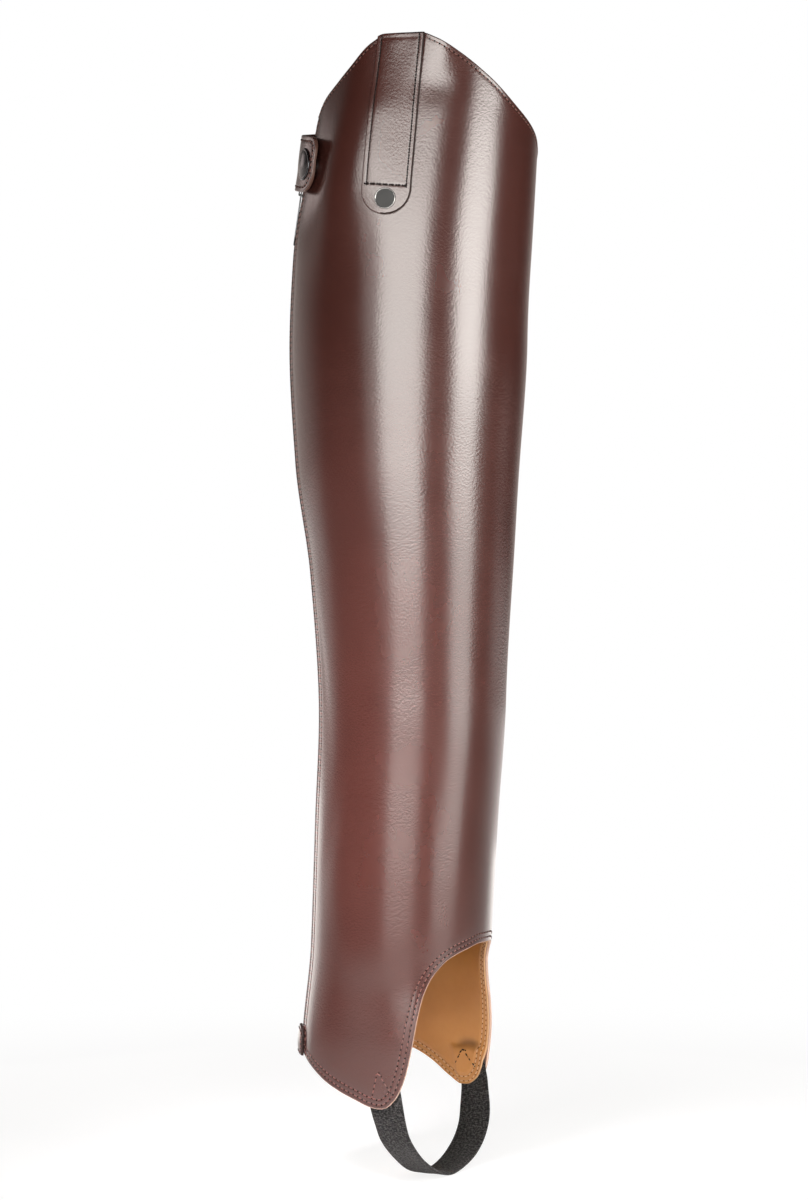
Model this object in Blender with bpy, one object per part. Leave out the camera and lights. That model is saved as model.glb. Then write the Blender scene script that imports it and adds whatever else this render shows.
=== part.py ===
"""A riding half chap for the right leg, closed and filled out as on a calf.

Lengths are in millimetres until a mesh is made, which is in metres. The leg's axis
is Z, the shin faces -Y and the outer side of the leg faces -X. The origin lies on
the axis at the height of the calf's widest part. Places on the leather are given
by an angle in degrees, 0 at the shin and positive towards the outer side, by a
height, and by how far they stand out from the leather's outer face.
"""

import math
from collections import namedtuple

import bmesh
import bpy
from mathutils import Vector

MM = 0.001

# ---- The leg that the leather follows -------------------------------------------------

Section = namedtuple("Section", "height forward half_width half_depth squareness")
SECTIONS = (
    Section(height=-345, forward=-6.3, half_width=42.0, half_depth=42.0, squareness=3.5),
    Section(height=-310, forward=-5.8, half_width=42.4, half_depth=42.4, squareness=3.25),
    Section(height=-265, forward=-3.8, half_width=40.2, half_depth=40.2, squareness=2.0),
    Section(height=-210, forward=-1.0, half_width=40.8, half_depth=40.8, squareness=2.0),
    Section(height=-155, forward=2.0, half_width=41.8, half_depth=41.8, squareness=2.0),
    Section(height=-100, forward=1.6, half_width=45.2, half_depth=45.2, squareness=2.0),
    Section(height=-50, forward=-0.5, half_width=50.1, half_depth=50.1, squareness=2.0),
    Section(height=5, forward=0.0, half_width=53.1, half_depth=53.1, squareness=2.0),
    Section(height=40, forward=1.8, half_width=53.1, half_depth=53.1, squareness=2.0),
    Section(height=95, forward=9.2, half_width=49.7, half_depth=49.7, squareness=2.0),
    Section(height=145, forward=16.5, half_width=46.5, half_depth=46.5, squareness=2.0),
)

# ---- The cut edges of the leather -----------------------------------------------------

ZIP_ANGLE = 148.0
ZIP_HALF_GAP_ANGLE = 4.5
OUTER_ZIP_EDGE = ZIP_ANGLE - ZIP_HALF_GAP_ANGLE
INNER_ZIP_EDGE = ZIP_ANGLE + ZIP_HALF_GAP_ANGLE - 360.0

EdgePoint = namedtuple("EdgePoint", "angle height")
TOP_EDGE = (
    EdgePoint(angle=INNER_ZIP_EDGE, height=102.0),
    EdgePoint(angle=-190, height=96.0),
    EdgePoint(angle=-150, height=86.0),
    EdgePoint(angle=-110, height=79.0),
    EdgePoint(angle=-75, height=78.0),
    EdgePoint(angle=-45, height=83.0),
    EdgePoint(angle=-17.5, height=92.5),
    EdgePoint(angle=9, height=102.4),
    EdgePoint(angle=31, height=114.3),
    EdgePoint(angle=49, height=123.8),
    EdgePoint(angle=64, height=130.3),
    EdgePoint(angle=70, height=132.0),
    EdgePoint(angle=90, height=132.2),
    EdgePoint(angle=98.5, height=128.6),
    EdgePoint(angle=109.5, height=119.8),
    EdgePoint(angle=121, height=113.6),
    EdgePoint(angle=134, height=108.3),
    EdgePoint(angle=OUTER_ZIP_EDGE, height=103.0),
)
HEM = (
    EdgePoint(angle=INNER_ZIP_EDGE, height=-312.0),
    EdgePoint(angle=-150, height=-312.0),
    EdgePoint(angle=-125, height=-313.5),
    EdgePoint(angle=-108, height=-317.3),
    EdgePoint(angle=-95, height=-322.4),
    EdgePoint(angle=-82, height=-329.0),
    EdgePoint(angle=-74, height=-332.0),
    EdgePoint(angle=-68, height=-331.9),
    EdgePoint(angle=-61, height=-328.6),
    EdgePoint(angle=-57.5, height=-323.0),
    EdgePoint(angle=-55, height=-312.0),
    EdgePoint(angle=-52, height=-296.0),
    EdgePoint(angle=-48.5, height=-282.0),
    EdgePoint(angle=-42, height=-271.5),
    EdgePoint(angle=-31, height=-265.2),
    EdgePoint(angle=-15, height=-262.6),
    EdgePoint(angle=2, height=-262.4),
    EdgePoint(angle=18.6, height=-264.4),
    EdgePoint(angle=31, height=-267.4),
    EdgePoint(angle=41.7, height=-274.1),
    EdgePoint(angle=47.8, height=-282.8),
    EdgePoint(angle=51, height=-293.0),
    EdgePoint(angle=53.3, height=-303.9),
    EdgePoint(angle=56, height=-315.3),
    EdgePoint(angle=58.9, height=-322.9),
    EdgePoint(angle=62.4, height=-328.0),
    EdgePoint(angle=67.6, height=-331.7),
    EdgePoint(angle=71, height=-332.2),
    EdgePoint(angle=77, height=-331.6),
    EdgePoint(angle=86, height=-329.2),
    EdgePoint(angle=107, height=-323.1),
    EdgePoint(angle=123, height=-317.6),
    EdgePoint(angle=OUTER_ZIP_EDGE, height=-311.5),
)
HEM_RADIUS = 41.5
HEM_SAMPLE_STEP = 0.25

# ---- Layers, as distances out from the leather's outer face ---------------------------

SEAM_GAP = 0.3
LEATHER = 1.8
LINING = 1.0
WALL_COLUMNS = 60
WALL_ROWS = 20
LEAST_COLUMN_ANGLE = 1.5
LINING_SEAM_GAP = 0.35

# ---- Pull strip with its badge ----------------------------------------------------------

STRIP_WIDTH = 21.0
STRIP_THICKNESS = 1.6
STRIP_TOP_ANGLE = 81.0
STRIP_END_ANGLE = 75.4
STRIP_END_HEIGHT = 54.0
STRIP_ROWS = 16
STRIP_COLUMNS = 6
BADGE_ANGLE = 76.2
BADGE_HEIGHT = 60.7
BADGE_RADIUS = 4.6
BADGE_THICKNESS = 0.9
DISC_SIDES = 28

# ---- Snap tab over the top of the zip -------------------------------------------------

TAB_RADIUS = 54.0
TAB_WIDTH = 24.4
TAB_HEIGHT = 82.5
TAB_SLOPE = 0.17
TAB_THICKNESS = 1.7
TAB_UPPER_CORNER = 6.0
TAB_LOWER_CORNER = 10.0
TAB_ROOT = -30.0
TAB_FREE_END = 27.3
TAB_COLUMNS = 22
TAB_ROWS = 6
StandShare = namedtuple("StandShare", "along share")
TAB_STAND_SHARE = (
    StandShare(along=TAB_ROOT, share=0.0),
    StandShare(along=-16.0, share=0.0),
    StandShare(along=-6.0, share=1.0),
    StandShare(along=17.0, share=1.0),
    StandShare(along=TAB_FREE_END, share=0.86),
)
TabStand = namedtuple("TabStand", "across out")
TAB_STAND = (
    TabStand(across=-12.5, out=2.15),
    TabStand(across=-5.0, out=2.55),
    TabStand(across=0.0, out=3.2),
    TabStand(across=5.0, out=3.7),
    TabStand(across=12.5, out=4.15),
)
SNAP_ALONG = 16.7
SNAP_CAP_RADIUS = 7.0
SNAP_CAP_RIM = 0.4
SNAP_CAP_DOME = 0.9
SNAP_POST_RADIUS = 4.6
SNAP_POST_NECK = 3.2

# ---- Zip --------------------------------------------------------------------------------

TAPE_INNER_EDGE = 2.75
TAPE_OUTER_ANGLE = 19.0
TAPE_THICKNESS = 0.6
TAPE_OUTER_FACE = -2.25
TAPE_TOP = 98.0
TAPE_BOTTOM = -307.0
CHAIN_HALF_WIDTH = 2.4
CHAIN_OUTER_FACE = -1.3
CHAIN_THICKNESS = 2.0
CHAIN_BOTTOM = -303.5
CHAIN_TOP_GAP = 1.2
ZIP_ROWS = 24
ZIP_SLOPE_REACH = 14.0
SLIDER_BOTTOM = 67.5
SLIDER_LENGTH = 14.0
SLIDER_HALF_WIDTH = 3.6
SLIDER_WAIST = 2.4
SLIDER_TOP_PLATE = (-0.9, 0.0)
SLIDER_LOWER_PLATE = (-4.9, -3.7)
BRIDGE_HALF_WIDTH = 0.9
BRIDGE_OPENING = 1.3
BRIDGE_BAR = 0.5
BRIDGE_FOOT = 0.8
PULL_PIVOT_UP = 2.0
PULL_PIVOT_OUT = 0.65
PULL_LEAN = math.radians(3.0)
PULL_THICKNESS = 0.6
PULL_WINDOW_HALF_WIDTH = 1.4
PullRow = namedtuple("PullRow", "down half_width")
PULL_ROWS = (
    PullRow(down=-0.4, half_width=2.5),
    PullRow(down=0.4, half_width=2.7),
    PullRow(down=4.2, half_width=2.7),
    PullRow(down=7.0, half_width=2.2),
    PullRow(down=19.0, half_width=3.1),
    PullRow(down=22.0, half_width=3.0),
    PullRow(down=23.6, half_width=2.0),
)
PULL_WINDOW_ROW = 1
STOP_LENGTH = 2.2
STOP_HALF_SPAN = (0.5, 2.35)

# ---- Zip guard: the leather patch over the zip's lower end ----------------------------

GUARD_HALF_WIDTH = 8.0
GUARD_TOP = -300.5
GUARD_BOTTOM = -313.5
GUARD_THICKNESS = 1.3
GUARD_BULGE = 0.6
GUARD_COLUMNS = 10
GUARD_ROWS = 7

# ---- Elastic strap that passes under the foot -----------------------------------------

STRAP_WIDTH = 15.2
STRAP_THICKNESS = 1.4
STRAP_COLUMNS = 8
STRAP_ROWS = 28
STRAP_SEAM_GAP = 0.8
STRAP_TOP = -325.5
StrapPoint = namedtuple("StrapPoint", "x y z")
STRAP_ROUTE = (
    StrapPoint(x=-38.4, y=-10.6, z=-331.5),
    StrapPoint(x=-37.0, y=-10.8, z=-338.0),
    StrapPoint(x=-31.5, y=-11.0, z=-347.0),
    StrapPoint(x=-21.0, y=-11.3, z=-356.5),
    StrapPoint(x=-8.0, y=-11.8, z=-363.6),
    StrapPoint(x=6.0, y=-12.3, z=-366.6),
    StrapPoint(x=20.0, y=-12.8, z=-363.6),
    StrapPoint(x=31.0, y=-13.1, z=-357.6),
    StrapPoint(x=37.2, y=-13.3, z=-350.0),
    StrapPoint(x=38.9, y=-13.3, z=-341.0),
    StrapPoint(x=38.4, y=-13.2, z=-331.5),
)

# ---- Finishes -----------------------------------------------------------------------------

Finish = namedtuple("Finish", "colour roughness metallic")
OXBLOOD_LEATHER = Finish((0.17, 0.066, 0.06, 1.0), 0.30, 0.0)
TAN_LEATHER = Finish((0.42, 0.20, 0.07, 1.0), 0.55, 0.0)
BLACK_ELASTIC = Finish((0.018, 0.017, 0.017, 1.0), 0.85, 0.0)
DARK_TAPE = Finish((0.035, 0.020, 0.018, 1.0), 0.80, 0.0)
BLACK_METAL = Finish((0.03, 0.03, 0.032, 1.0), 0.25, 1.0)
GREY_METAL = Finish((0.16, 0.15, 0.15, 1.0), 0.35, 1.0)


# ---- Tables and places ----------------------------------------------------------------

def slope(keys, values, index):
    """Slope of a smooth curve through a table at one of its rows, with no overshoot."""
    if index in (0, len(keys) - 1):
        near = min(index, len(keys) - 2)
        return (values[near + 1] - values[near]) / (keys[near + 1] - keys[near])
    before = (values[index] - values[index - 1]) / (keys[index] - keys[index - 1])
    after = (values[index + 1] - values[index]) / (keys[index + 1] - keys[index])
    if before * after <= 0.0:
        return 0.0
    return 2.0 * before * after / (before + after)


def smooth(table, column, at):
    """Value of a table's column at a key between its rows; the first column is the key."""
    keys = [row[0] for row in table]
    values = [getattr(row, column) for row in table]
    at = min(max(at, keys[0]), keys[-1])
    low = 0
    while low < len(keys) - 2 and keys[low + 1] < at:
        low += 1
    span = keys[low + 1] - keys[low]
    t = (at - keys[low]) / span
    start = slope(keys, values, low) * span
    end = slope(keys, values, low + 1) * span
    return ((2 * t ** 3 - 3 * t ** 2 + 1) * values[low] + (t ** 3 - 2 * t ** 2 + t) * start
            + (3 * t ** 2 - 2 * t ** 3) * values[low + 1] + (t ** 3 - t ** 2) * end)


def mix(low, high, t):
    return low + (high - low) * t


def leg_radius(angle, height):
    """Distance from the section's centre to the leather's outer face."""
    turn = math.radians(angle)
    half_width = smooth(SECTIONS, "half_width", height)
    half_depth = smooth(SECTIONS, "half_depth", height)
    power = smooth(SECTIONS, "squareness", height) if math.cos(turn) > 0.0 else 2.0
    across = abs(math.sin(turn)) / half_width
    along = abs(math.cos(turn)) / half_depth
    return (across ** power + along ** power) ** (-1.0 / power)


def on_leg(angle, height, out=0.0):
    """A place on the leather, in millimetres."""
    turn = math.radians(angle)
    reach = leg_radius(angle, height) + out
    forward = smooth(SECTIONS, "forward", height)
    return Vector((-reach * math.sin(turn), -forward - reach * math.cos(turn), height))


def beside(angle, height, distance):
    """The angle that lies a distance along the leather towards the outer side."""
    return angle + math.degrees(distance / leg_radius(angle, height))


def hem_angles(first, last, count):
    """Angles along the hem at even steps of its real length, so the arch gets its share."""
    samples = int((last - first) / HEM_SAMPLE_STEP)
    angles = [mix(first, last, i / samples) for i in range(samples + 1)]
    lengths = [0.0]
    for before, after in zip(angles, angles[1:]):
        run = math.radians(after - before) * HEM_RADIUS
        rise = smooth(HEM, "height", after) - smooth(HEM, "height", before)
        lengths.append(lengths[-1] + math.hypot(run, rise))
    result = []
    index = 0
    for step in range(count + 1):
        wanted = lengths[-1] * step / count
        while index < samples - 1 and lengths[index + 1] < wanted:
            index += 1
        part = (wanted - lengths[index]) / (lengths[index + 1] - lengths[index])
        result.append(mix(angles[index], angles[index + 1], min(part, 1.0)))
    return result


def wall_columns(first, last):
    """Angles of each column of points at the top edge and at the hem, between two angles."""
    low = hem_angles(INNER_ZIP_EDGE, OUTER_ZIP_EDGE, WALL_COLUMNS)
    high = [mix(INNER_ZIP_EDGE, OUTER_ZIP_EDGE, c / WALL_COLUMNS) for c in range(WALL_COLUMNS + 1)]
    least = first + LEAST_COLUMN_ANGLE
    most = last - LEAST_COLUMN_ANGLE
    inside = [pair for pair in zip(high, low) if min(pair) > least and max(pair) < most]
    return [(first, first)] + inside + [(last, last)]


# ---- Meshes ---------------------------------------------------------------------------

def material(name, finish):
    made = bpy.data.materials.get(name) or bpy.data.materials.new(name)
    made.use_nodes = True
    shader = made.node_tree.nodes["Principled BSDF"]
    shader.inputs["Base Color"].default_value = finish.colour
    shader.inputs["Roughness"].default_value = finish.roughness
    shader.inputs["Metallic"].default_value = finish.metallic
    return made


def add_object(name, mesh_data, finish, origin=None):
    """Closes a mesh made in millimetres into an object in metres, with its faces out."""
    bmesh.ops.recalc_face_normals(mesh_data, faces=mesh_data.faces)
    if origin is not None:
        bmesh.ops.translate(mesh_data, verts=mesh_data.verts, vec=-origin)
    bmesh.ops.scale(mesh_data, verts=mesh_data.verts, vec=(MM, MM, MM))
    mesh = bpy.data.meshes.new(name)
    mesh_data.to_mesh(mesh)
    mesh_data.free()
    mesh.shade_smooth()
    mesh.set_sharp_from_angle(angle=math.radians(35))
    mesh.materials.append(material(name, finish))
    made = bpy.data.objects.new(name, mesh)
    if origin is not None:
        made.location = origin * MM
    bpy.context.scene.collection.objects.link(made)
    return made


def slab(name, face, back, finish):
    """A closed wall between two grids of points with the same rows and columns."""
    data = bmesh.new()
    grids = [[[data.verts.new(p) for p in row] for row in grid] for grid in (face, back)]
    rows = len(face)
    columns = len(face[0])
    for grid in grids:
        for r in range(rows - 1):
            for c in range(columns - 1):
                data.faces.new((grid[r][c], grid[r][c + 1], grid[r + 1][c + 1], grid[r + 1][c]))
    rim = [(0, c) for c in range(columns)]
    rim += [(r, columns - 1) for r in range(1, rows)]
    rim += [(rows - 1, c) for c in range(columns - 2, -1, -1)]
    rim += [(r, 0) for r in range(rows - 2, 0, -1)]
    for (r0, c0), (r1, c1) in zip(rim, rim[1:] + rim[:1]):
        data.faces.new((grids[0][r0][c0], grids[0][r1][c1], grids[1][r1][c1], grids[1][r0][c0]))
    return add_object(name, data, finish)


def turned(name, profile, place, finish):
    """A round piece: each profile row is a radius and a distance out, from the top centre down."""
    data = bmesh.new()
    rings = []
    for radius, out in profile:
        if radius == 0.0:
            rings.append([data.verts.new(place(0.0, 0.0, out))])
            continue
        ring = []
        for side in range(DISC_SIDES):
            turn = 2 * math.pi * side / DISC_SIDES
            ring.append(data.verts.new(place(radius * math.cos(turn), radius * math.sin(turn), out)))
        rings.append(ring)
    for upper, lower in zip(rings, rings[1:]):
        for side in range(DISC_SIDES):
            after = (side + 1) % DISC_SIDES
            if len(upper) == 1:
                data.faces.new((upper[0], lower[side], lower[after]))
            elif len(lower) == 1:
                data.faces.new((upper[side], lower[0], upper[after]))
            else:
                data.faces.new((upper[side], lower[side], lower[after], upper[after]))
    return add_object(name, data, finish)


def prism(outline, width, place):
    """A straight bar: an outline in two axes, made thick to both sides of the third."""
    data = bmesh.new()
    near = [data.verts.new(place(a, b, -width / 2)) for a, b in outline]
    far = [data.verts.new(place(a, b, width / 2)) for a, b in outline]
    data.faces.new(near)
    data.faces.new(reversed(far))
    for i in range(len(outline)):
        after = (i + 1) % len(outline)
        data.faces.new((near[i], far[i], far[after], near[after]))
    return data


def unite(target, other):
    """Joins a second solid into the first, and removes the second."""
    cut = target.modifiers.new("join", "BOOLEAN")
    cut.operation = "UNION"
    cut.solver = "EXACT"
    cut.object = other
    bpy.context.view_layer.update()
    evaluated = target.evaluated_get(bpy.context.evaluated_depsgraph_get())
    joined = bpy.data.meshes.new_from_object(evaluated)
    target.modifiers.clear()
    target.data = joined
    bpy.data.objects.remove(other)


# ---- Leather, lining, strips ----------------------------------------------------------

def wall_grid(first, last, out):
    """Points over the whole leg between two angles, from the top edge to the hem."""
    columns = wall_columns(first, last)
    grid = []
    for r in range(WALL_ROWS + 1):
        t = r / WALL_ROWS
        row = []
        for top_angle, low_angle in columns:
            height = mix(smooth(TOP_EDGE, "height", top_angle), smooth(HEM, "height", low_angle), t)
            row.append(on_leg(mix(top_angle, low_angle, t), height, out))
        grid.append(row)
    return grid


def make_leg_panel():
    face = wall_grid(INNER_ZIP_EDGE, OUTER_ZIP_EDGE, 0.0)
    back = wall_grid(INNER_ZIP_EDGE, OUTER_ZIP_EDGE, -LEATHER)
    return slab("leg_panel", face, back, OXBLOOD_LEATHER)


def make_lining():
    """The lining stops where the zip's tapes begin."""
    reach = TAPE_OUTER_ANGLE + math.degrees(2 * SEAM_GAP / HEM_RADIUS)
    outer = -LEATHER - LINING_SEAM_GAP
    face = wall_grid(ZIP_ANGLE + reach - 360.0, ZIP_ANGLE - reach, outer)
    back = wall_grid(ZIP_ANGLE + reach - 360.0, ZIP_ANGLE - reach, outer - LINING)
    return slab("lining", face, back, TAN_LEATHER)


def make_pull_strip():
    """A stitched strip from the top edge down to a round end."""
    half = STRIP_WIDTH / 2
    round_centre = STRIP_END_HEIGHT + half
    top = smooth(TOP_EDGE, "height", STRIP_TOP_ANGLE)
    heights = [STRIP_END_HEIGHT + half * (1 - math.cos(math.radians(a))) for a in (14, 32, 50, 70, 90)]
    straight = STRIP_ROWS - len(heights)
    heights += [mix(round_centre, top, (i + 1) / straight) for i in range(straight)]
    faces = []
    for out in (SEAM_GAP + STRIP_THICKNESS, SEAM_GAP):
        grid = []
        for height in heights:
            drop = max(0.0, round_centre - height)
            reach = math.sqrt(half ** 2 - drop ** 2)
            lean = (height - STRIP_END_HEIGHT) / (top - STRIP_END_HEIGHT)
            centre = mix(STRIP_END_ANGLE, STRIP_TOP_ANGLE, lean)
            row = []
            for c in range(STRIP_COLUMNS + 1):
                side = mix(-reach, reach, c / STRIP_COLUMNS)
                angle = beside(centre, height, side)
                limit = smooth(TOP_EDGE, "height", angle)
                row.append(on_leg(angle, limit if height == top else height, out))
            grid.append(row)
        faces.append(grid)
    return slab("pull_strip", *faces, OXBLOOD_LEATHER)


def make_badge():
    base = 2 * SEAM_GAP + STRIP_THICKNESS
    top = base + BADGE_THICKNESS

    def place(across, up, out):
        return on_leg(beside(BADGE_ANGLE, BADGE_HEIGHT, across), BADGE_HEIGHT + up, out)

    profile = ((0.0, top), (BADGE_RADIUS * 0.75, top), (BADGE_RADIUS, top - 0.25),
               (BADGE_RADIUS, base), (0.0, base))
    return turned("badge", profile, place, GREY_METAL)


# ---- Snap tab ---------------------------------------------------------------------------

def beside_zip(along, across, out):
    """A place over the zip: along the tab to the outer side, across it upwards, out from the leather."""
    angle = ZIP_ANGLE - math.degrees(along / TAB_RADIUS)
    return on_leg(angle, TAB_HEIGHT - along * TAB_SLOPE + across, out)


def on_tab(along, across, out):
    """A place on the tab, out from its back. The tab lies flat at its root and stands off past it."""
    share = smooth(TAB_STAND_SHARE, "share", along)
    stand = mix(SEAM_GAP, smooth(TAB_STAND, "out", across), share)
    return beside_zip(along, across, stand + out)


def tab_half_width(along, corner):
    """Half of the tab's width, less where a corner is rounded."""
    into_corner = max(0.0, along - (TAB_FREE_END - corner))
    return TAB_WIDTH / 2 - corner + math.sqrt(max(0.0, corner ** 2 - into_corner ** 2))


def make_snap_tab():
    straight_end = TAB_FREE_END - TAB_LOWER_CORNER
    stations = [mix(TAB_ROOT, straight_end, i / TAB_COLUMNS) for i in range(TAB_COLUMNS + 1)]
    stations += [straight_end + TAB_LOWER_CORNER * math.sin(math.radians(turn))
                 for turn in (20, 38, 54, 68, 80)]
    stations.append(TAB_FREE_END)
    faces = []
    for out in (TAB_THICKNESS, 0.0):
        grid = []
        for along in stations:
            low = -tab_half_width(along, TAB_LOWER_CORNER)
            high = tab_half_width(along, TAB_UPPER_CORNER)
            grid.append([on_tab(along, mix(low, high, r / TAB_ROWS), out)
                         for r in range(TAB_ROWS + 1)])
        faces.append(grid)
    return slab("snap_tab", *faces, OXBLOOD_LEATHER)


def make_snap():
    """The domed cap on the tab, and the socket and stud between the tab and the panel."""
    base = TAB_THICKNESS + SEAM_GAP
    rim = base + SNAP_CAP_RIM

    def on_cap(across, up, out):
        return on_tab(SNAP_ALONG + across, up, out)

    def between(across, up, share):
        along = SNAP_ALONG + across
        return beside_zip(along, up, SEAM_GAP).lerp(on_tab(along, up, -SEAM_GAP), share)

    cap = [(0.0, rim + SNAP_CAP_DOME)]
    for turn in (25, 45, 62, 78, 90):
        radius = SNAP_CAP_RADIUS * math.sin(math.radians(turn))
        cap.append((radius, rim + SNAP_CAP_DOME * math.cos(math.radians(turn))))
    cap += [(SNAP_CAP_RADIUS, base), (0.0, base)]
    turned("snap_cap", cap, on_cap, BLACK_METAL)
    post = ((0.0, 1.0), (SNAP_POST_RADIUS, 1.0), (SNAP_POST_RADIUS, 0.5),
            (SNAP_POST_NECK, 0.5), (SNAP_POST_NECK, 0.0), (0.0, 0.0))
    turned("snap_post", post, between, BLACK_METAL)


# ---- Zip --------------------------------------------------------------------------------

def zip_strip(name, near, far, outer, thickness, bottom, top, columns, finish):
    """A strip along the zip. Its sides, near and far, are distances from the middle, positive to
    the leg's outer side, each a function of the distance to the leg's axis."""
    faces = []
    for out in (outer, outer - thickness):
        grid = []
        for r in range(ZIP_ROWS + 1):
            height = mix(bottom, top, r / ZIP_ROWS)
            row = []
            for c in range(columns + 1):
                reach = leg_radius(ZIP_ANGLE, height) + out
                distance = mix(near(reach), far(reach), c / columns)
                row.append(on_leg(ZIP_ANGLE - math.degrees(distance / reach), height, out))
            grid.append(row)
        faces.append(grid)
    return slab(name, *faces, finish)


def zip_frame(height):
    """Axes at the zip, to the leg's outer side, up along the zip and straight out; and the place."""
    turn = math.radians(ZIP_ANGLE)
    level = Vector((-math.sin(turn), -math.cos(turn), 0.0))
    above = on_leg(ZIP_ANGLE, height + ZIP_SLOPE_REACH)
    below = on_leg(ZIP_ANGLE, height - ZIP_SLOPE_REACH)
    up = (above - below).normalized()
    side = Vector((0.0, 0.0, 1.0)).cross(level)
    out = side.cross(up)
    return side, up, out, on_leg(ZIP_ANGLE, height)


def make_zip():
    for name, sign in (("zip_tape_outer", 1), ("zip_tape_inner", -1)):
        zip_strip(name, lambda reach, s=sign: s * TAPE_INNER_EDGE,
                  lambda reach, s=sign: s * reach * math.radians(TAPE_OUTER_ANGLE),
                  TAPE_OUTER_FACE, TAPE_THICKNESS, TAPE_BOTTOM, TAPE_TOP, 4, DARK_TAPE)
    zip_strip("zip_chain", lambda reach: -CHAIN_HALF_WIDTH, lambda reach: CHAIN_HALF_WIDTH,
              CHAIN_OUTER_FACE, CHAIN_THICKNESS, CHAIN_BOTTOM, SLIDER_BOTTOM - CHAIN_TOP_GAP,
              2, BLACK_METAL)


def make_zip_slider():
    side, up, out, foot = zip_frame(SLIDER_BOTTOM)
    top_low, top_high = SLIDER_TOP_PLATE
    low_low, low_high = SLIDER_LOWER_PLATE
    wide = SLIDER_HALF_WIDTH
    waist = SLIDER_WAIST
    section = ((-wide, top_high), (wide, top_high), (wide, top_low), (waist, top_low),
               (waist, low_high), (wide, low_high), (wide, low_low), (-wide, low_low),
               (-wide, low_high), (-waist, low_high), (-waist, top_low), (-wide, top_low))
    middle = foot + up * (SLIDER_LENGTH / 2)
    body = prism(section, SLIDER_LENGTH, lambda a, b, c: middle + side * a + out * b + up * c)
    slider = add_object("zip_slider", body, BLACK_METAL)

    inside = top_high + BRIDGE_OPENING
    outside = inside + BRIDGE_BAR
    low = 0.3
    high = SLIDER_LENGTH - 2.0
    sunk = top_high - 0.5
    arch = ((low, sunk), (low, outside - 0.3), (low + 0.5, outside), (high - 0.8, outside),
            (high, outside - 0.6), (high, sunk), (high - 1.4, sunk), (high - 1.4, inside),
            (low + BRIDGE_FOOT, inside), (low + BRIDGE_FOOT, sunk))
    bar = prism(arch, 2 * BRIDGE_HALF_WIDTH, lambda a, b, c: foot + up * a + out * b + side * c)
    bridge = add_object("zip_bridge", bar, BLACK_METAL)
    unite(slider, bridge)


def make_zip_pull():
    """A flat pull that hangs from the slider's bridge, with its origin on the hinge."""
    side, up, out, foot = zip_frame(SLIDER_BOTTOM)
    pivot = foot + up * PULL_PIVOT_UP + out * PULL_PIVOT_OUT
    up, out = (up * math.cos(PULL_LEAN) + out * math.sin(PULL_LEAN),
               out * math.cos(PULL_LEAN) - up * math.sin(PULL_LEAN))
    data = bmesh.new()
    rows = []
    for row in PULL_ROWS:
        inner = min(PULL_WINDOW_HALF_WIDTH, row.half_width * 0.6)
        places = (-row.half_width, -inner, inner, row.half_width)
        front = out * (PULL_THICKNESS / 2)
        rows.append([data.verts.new(pivot + side * a - up * row.down + front) for a in places])
    for index, (upper, lower) in enumerate(zip(rows, rows[1:])):
        for c in range(3):
            if index == PULL_WINDOW_ROW and c == 1:
                continue
            data.faces.new((upper[c], upper[c + 1], lower[c + 1], lower[c]))
    grown = bmesh.ops.extrude_face_region(data, geom=data.faces[:], use_keep_orig=True)
    moved = [item for item in grown["geom"] if isinstance(item, bmesh.types.BMVert)]
    bmesh.ops.translate(data, verts=moved, vec=-out * PULL_THICKNESS)
    return add_object("zip_pull", data, BLACK_METAL, origin=pivot)


def make_zip_stops():
    top = SLIDER_BOTTOM + SLIDER_LENGTH + SEAM_GAP
    near, far = STOP_HALF_SPAN
    for name, sign in (("zip_stop_outer", 1), ("zip_stop_inner", -1)):
        side, up, out, foot = zip_frame(top)
        depth = CHAIN_OUTER_FACE - CHAIN_THICKNESS
        outline = ((sign * near, depth), (sign * far, depth),
                   (sign * far, CHAIN_OUTER_FACE), (sign * near, CHAIN_OUTER_FACE))
        centre = foot + up * (STOP_LENGTH / 2)
        bar = prism(outline, STOP_LENGTH,
                    lambda a, b, c, o=centre, s=side, n=out, u=up: o + s * a + n * b + u * c)
        add_object(name, bar, BLACK_METAL)


def make_zip_guard():
    """A patch with a rounded top that bulges over the zip's last teeth."""
    faces = []
    for out in (SEAM_GAP + GUARD_THICKNESS, SEAM_GAP):
        grid = []
        for r in range(GUARD_ROWS + 1):
            row = []
            for c in range(GUARD_COLUMNS + 1):
                v = mix(-1.0, 1.0, c / GUARD_COLUMNS)
                distance = v * GUARD_HALF_WIDTH
                angle = ZIP_ANGLE - math.degrees(distance / HEM_RADIUS)
                top = GUARD_TOP - (GUARD_TOP - GUARD_BOTTOM) * 0.35 * v ** 4
                height = mix(top, GUARD_BOTTOM, r / GUARD_ROWS)
                swell = math.sin(math.pi * r / GUARD_ROWS) ** 0.8 * math.cos(math.pi / 2 * v)
                row.append(on_leg(angle, height, out + GUARD_BULGE * max(0.0, swell)))
            grid.append(row)
        faces.append(grid)
    return slab("zip_guard", *faces, OXBLOOD_LEATHER)


# ---- Elastic strap ------------------------------------------------------------------------

def strap_point(t):
    """A place along the strap's route, on one smooth curve through its points."""
    spans = len(STRAP_ROUTE) - 1
    index = min(int(t * spans), spans - 1)
    part = t * spans - index
    points = [Vector(STRAP_ROUTE[min(max(index + k, 0), spans)]) for k in (-1, 0, 1, 2)]
    before, start, end, after = points
    return (start * 2 + (end - before) * part
            + (before * 2 - start * 5 + end * 4 - after) * part ** 2
            + (start * 3 - before - end * 3 + after) * part ** 3) / 2


def hem_under(place):
    """Height of the hem over a place near it."""
    forward = smooth(SECTIONS, "forward", place.z)
    angle = math.degrees(math.atan2(-place.x, -forward - place.y))
    return smooth(HEM, "height", angle)


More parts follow.
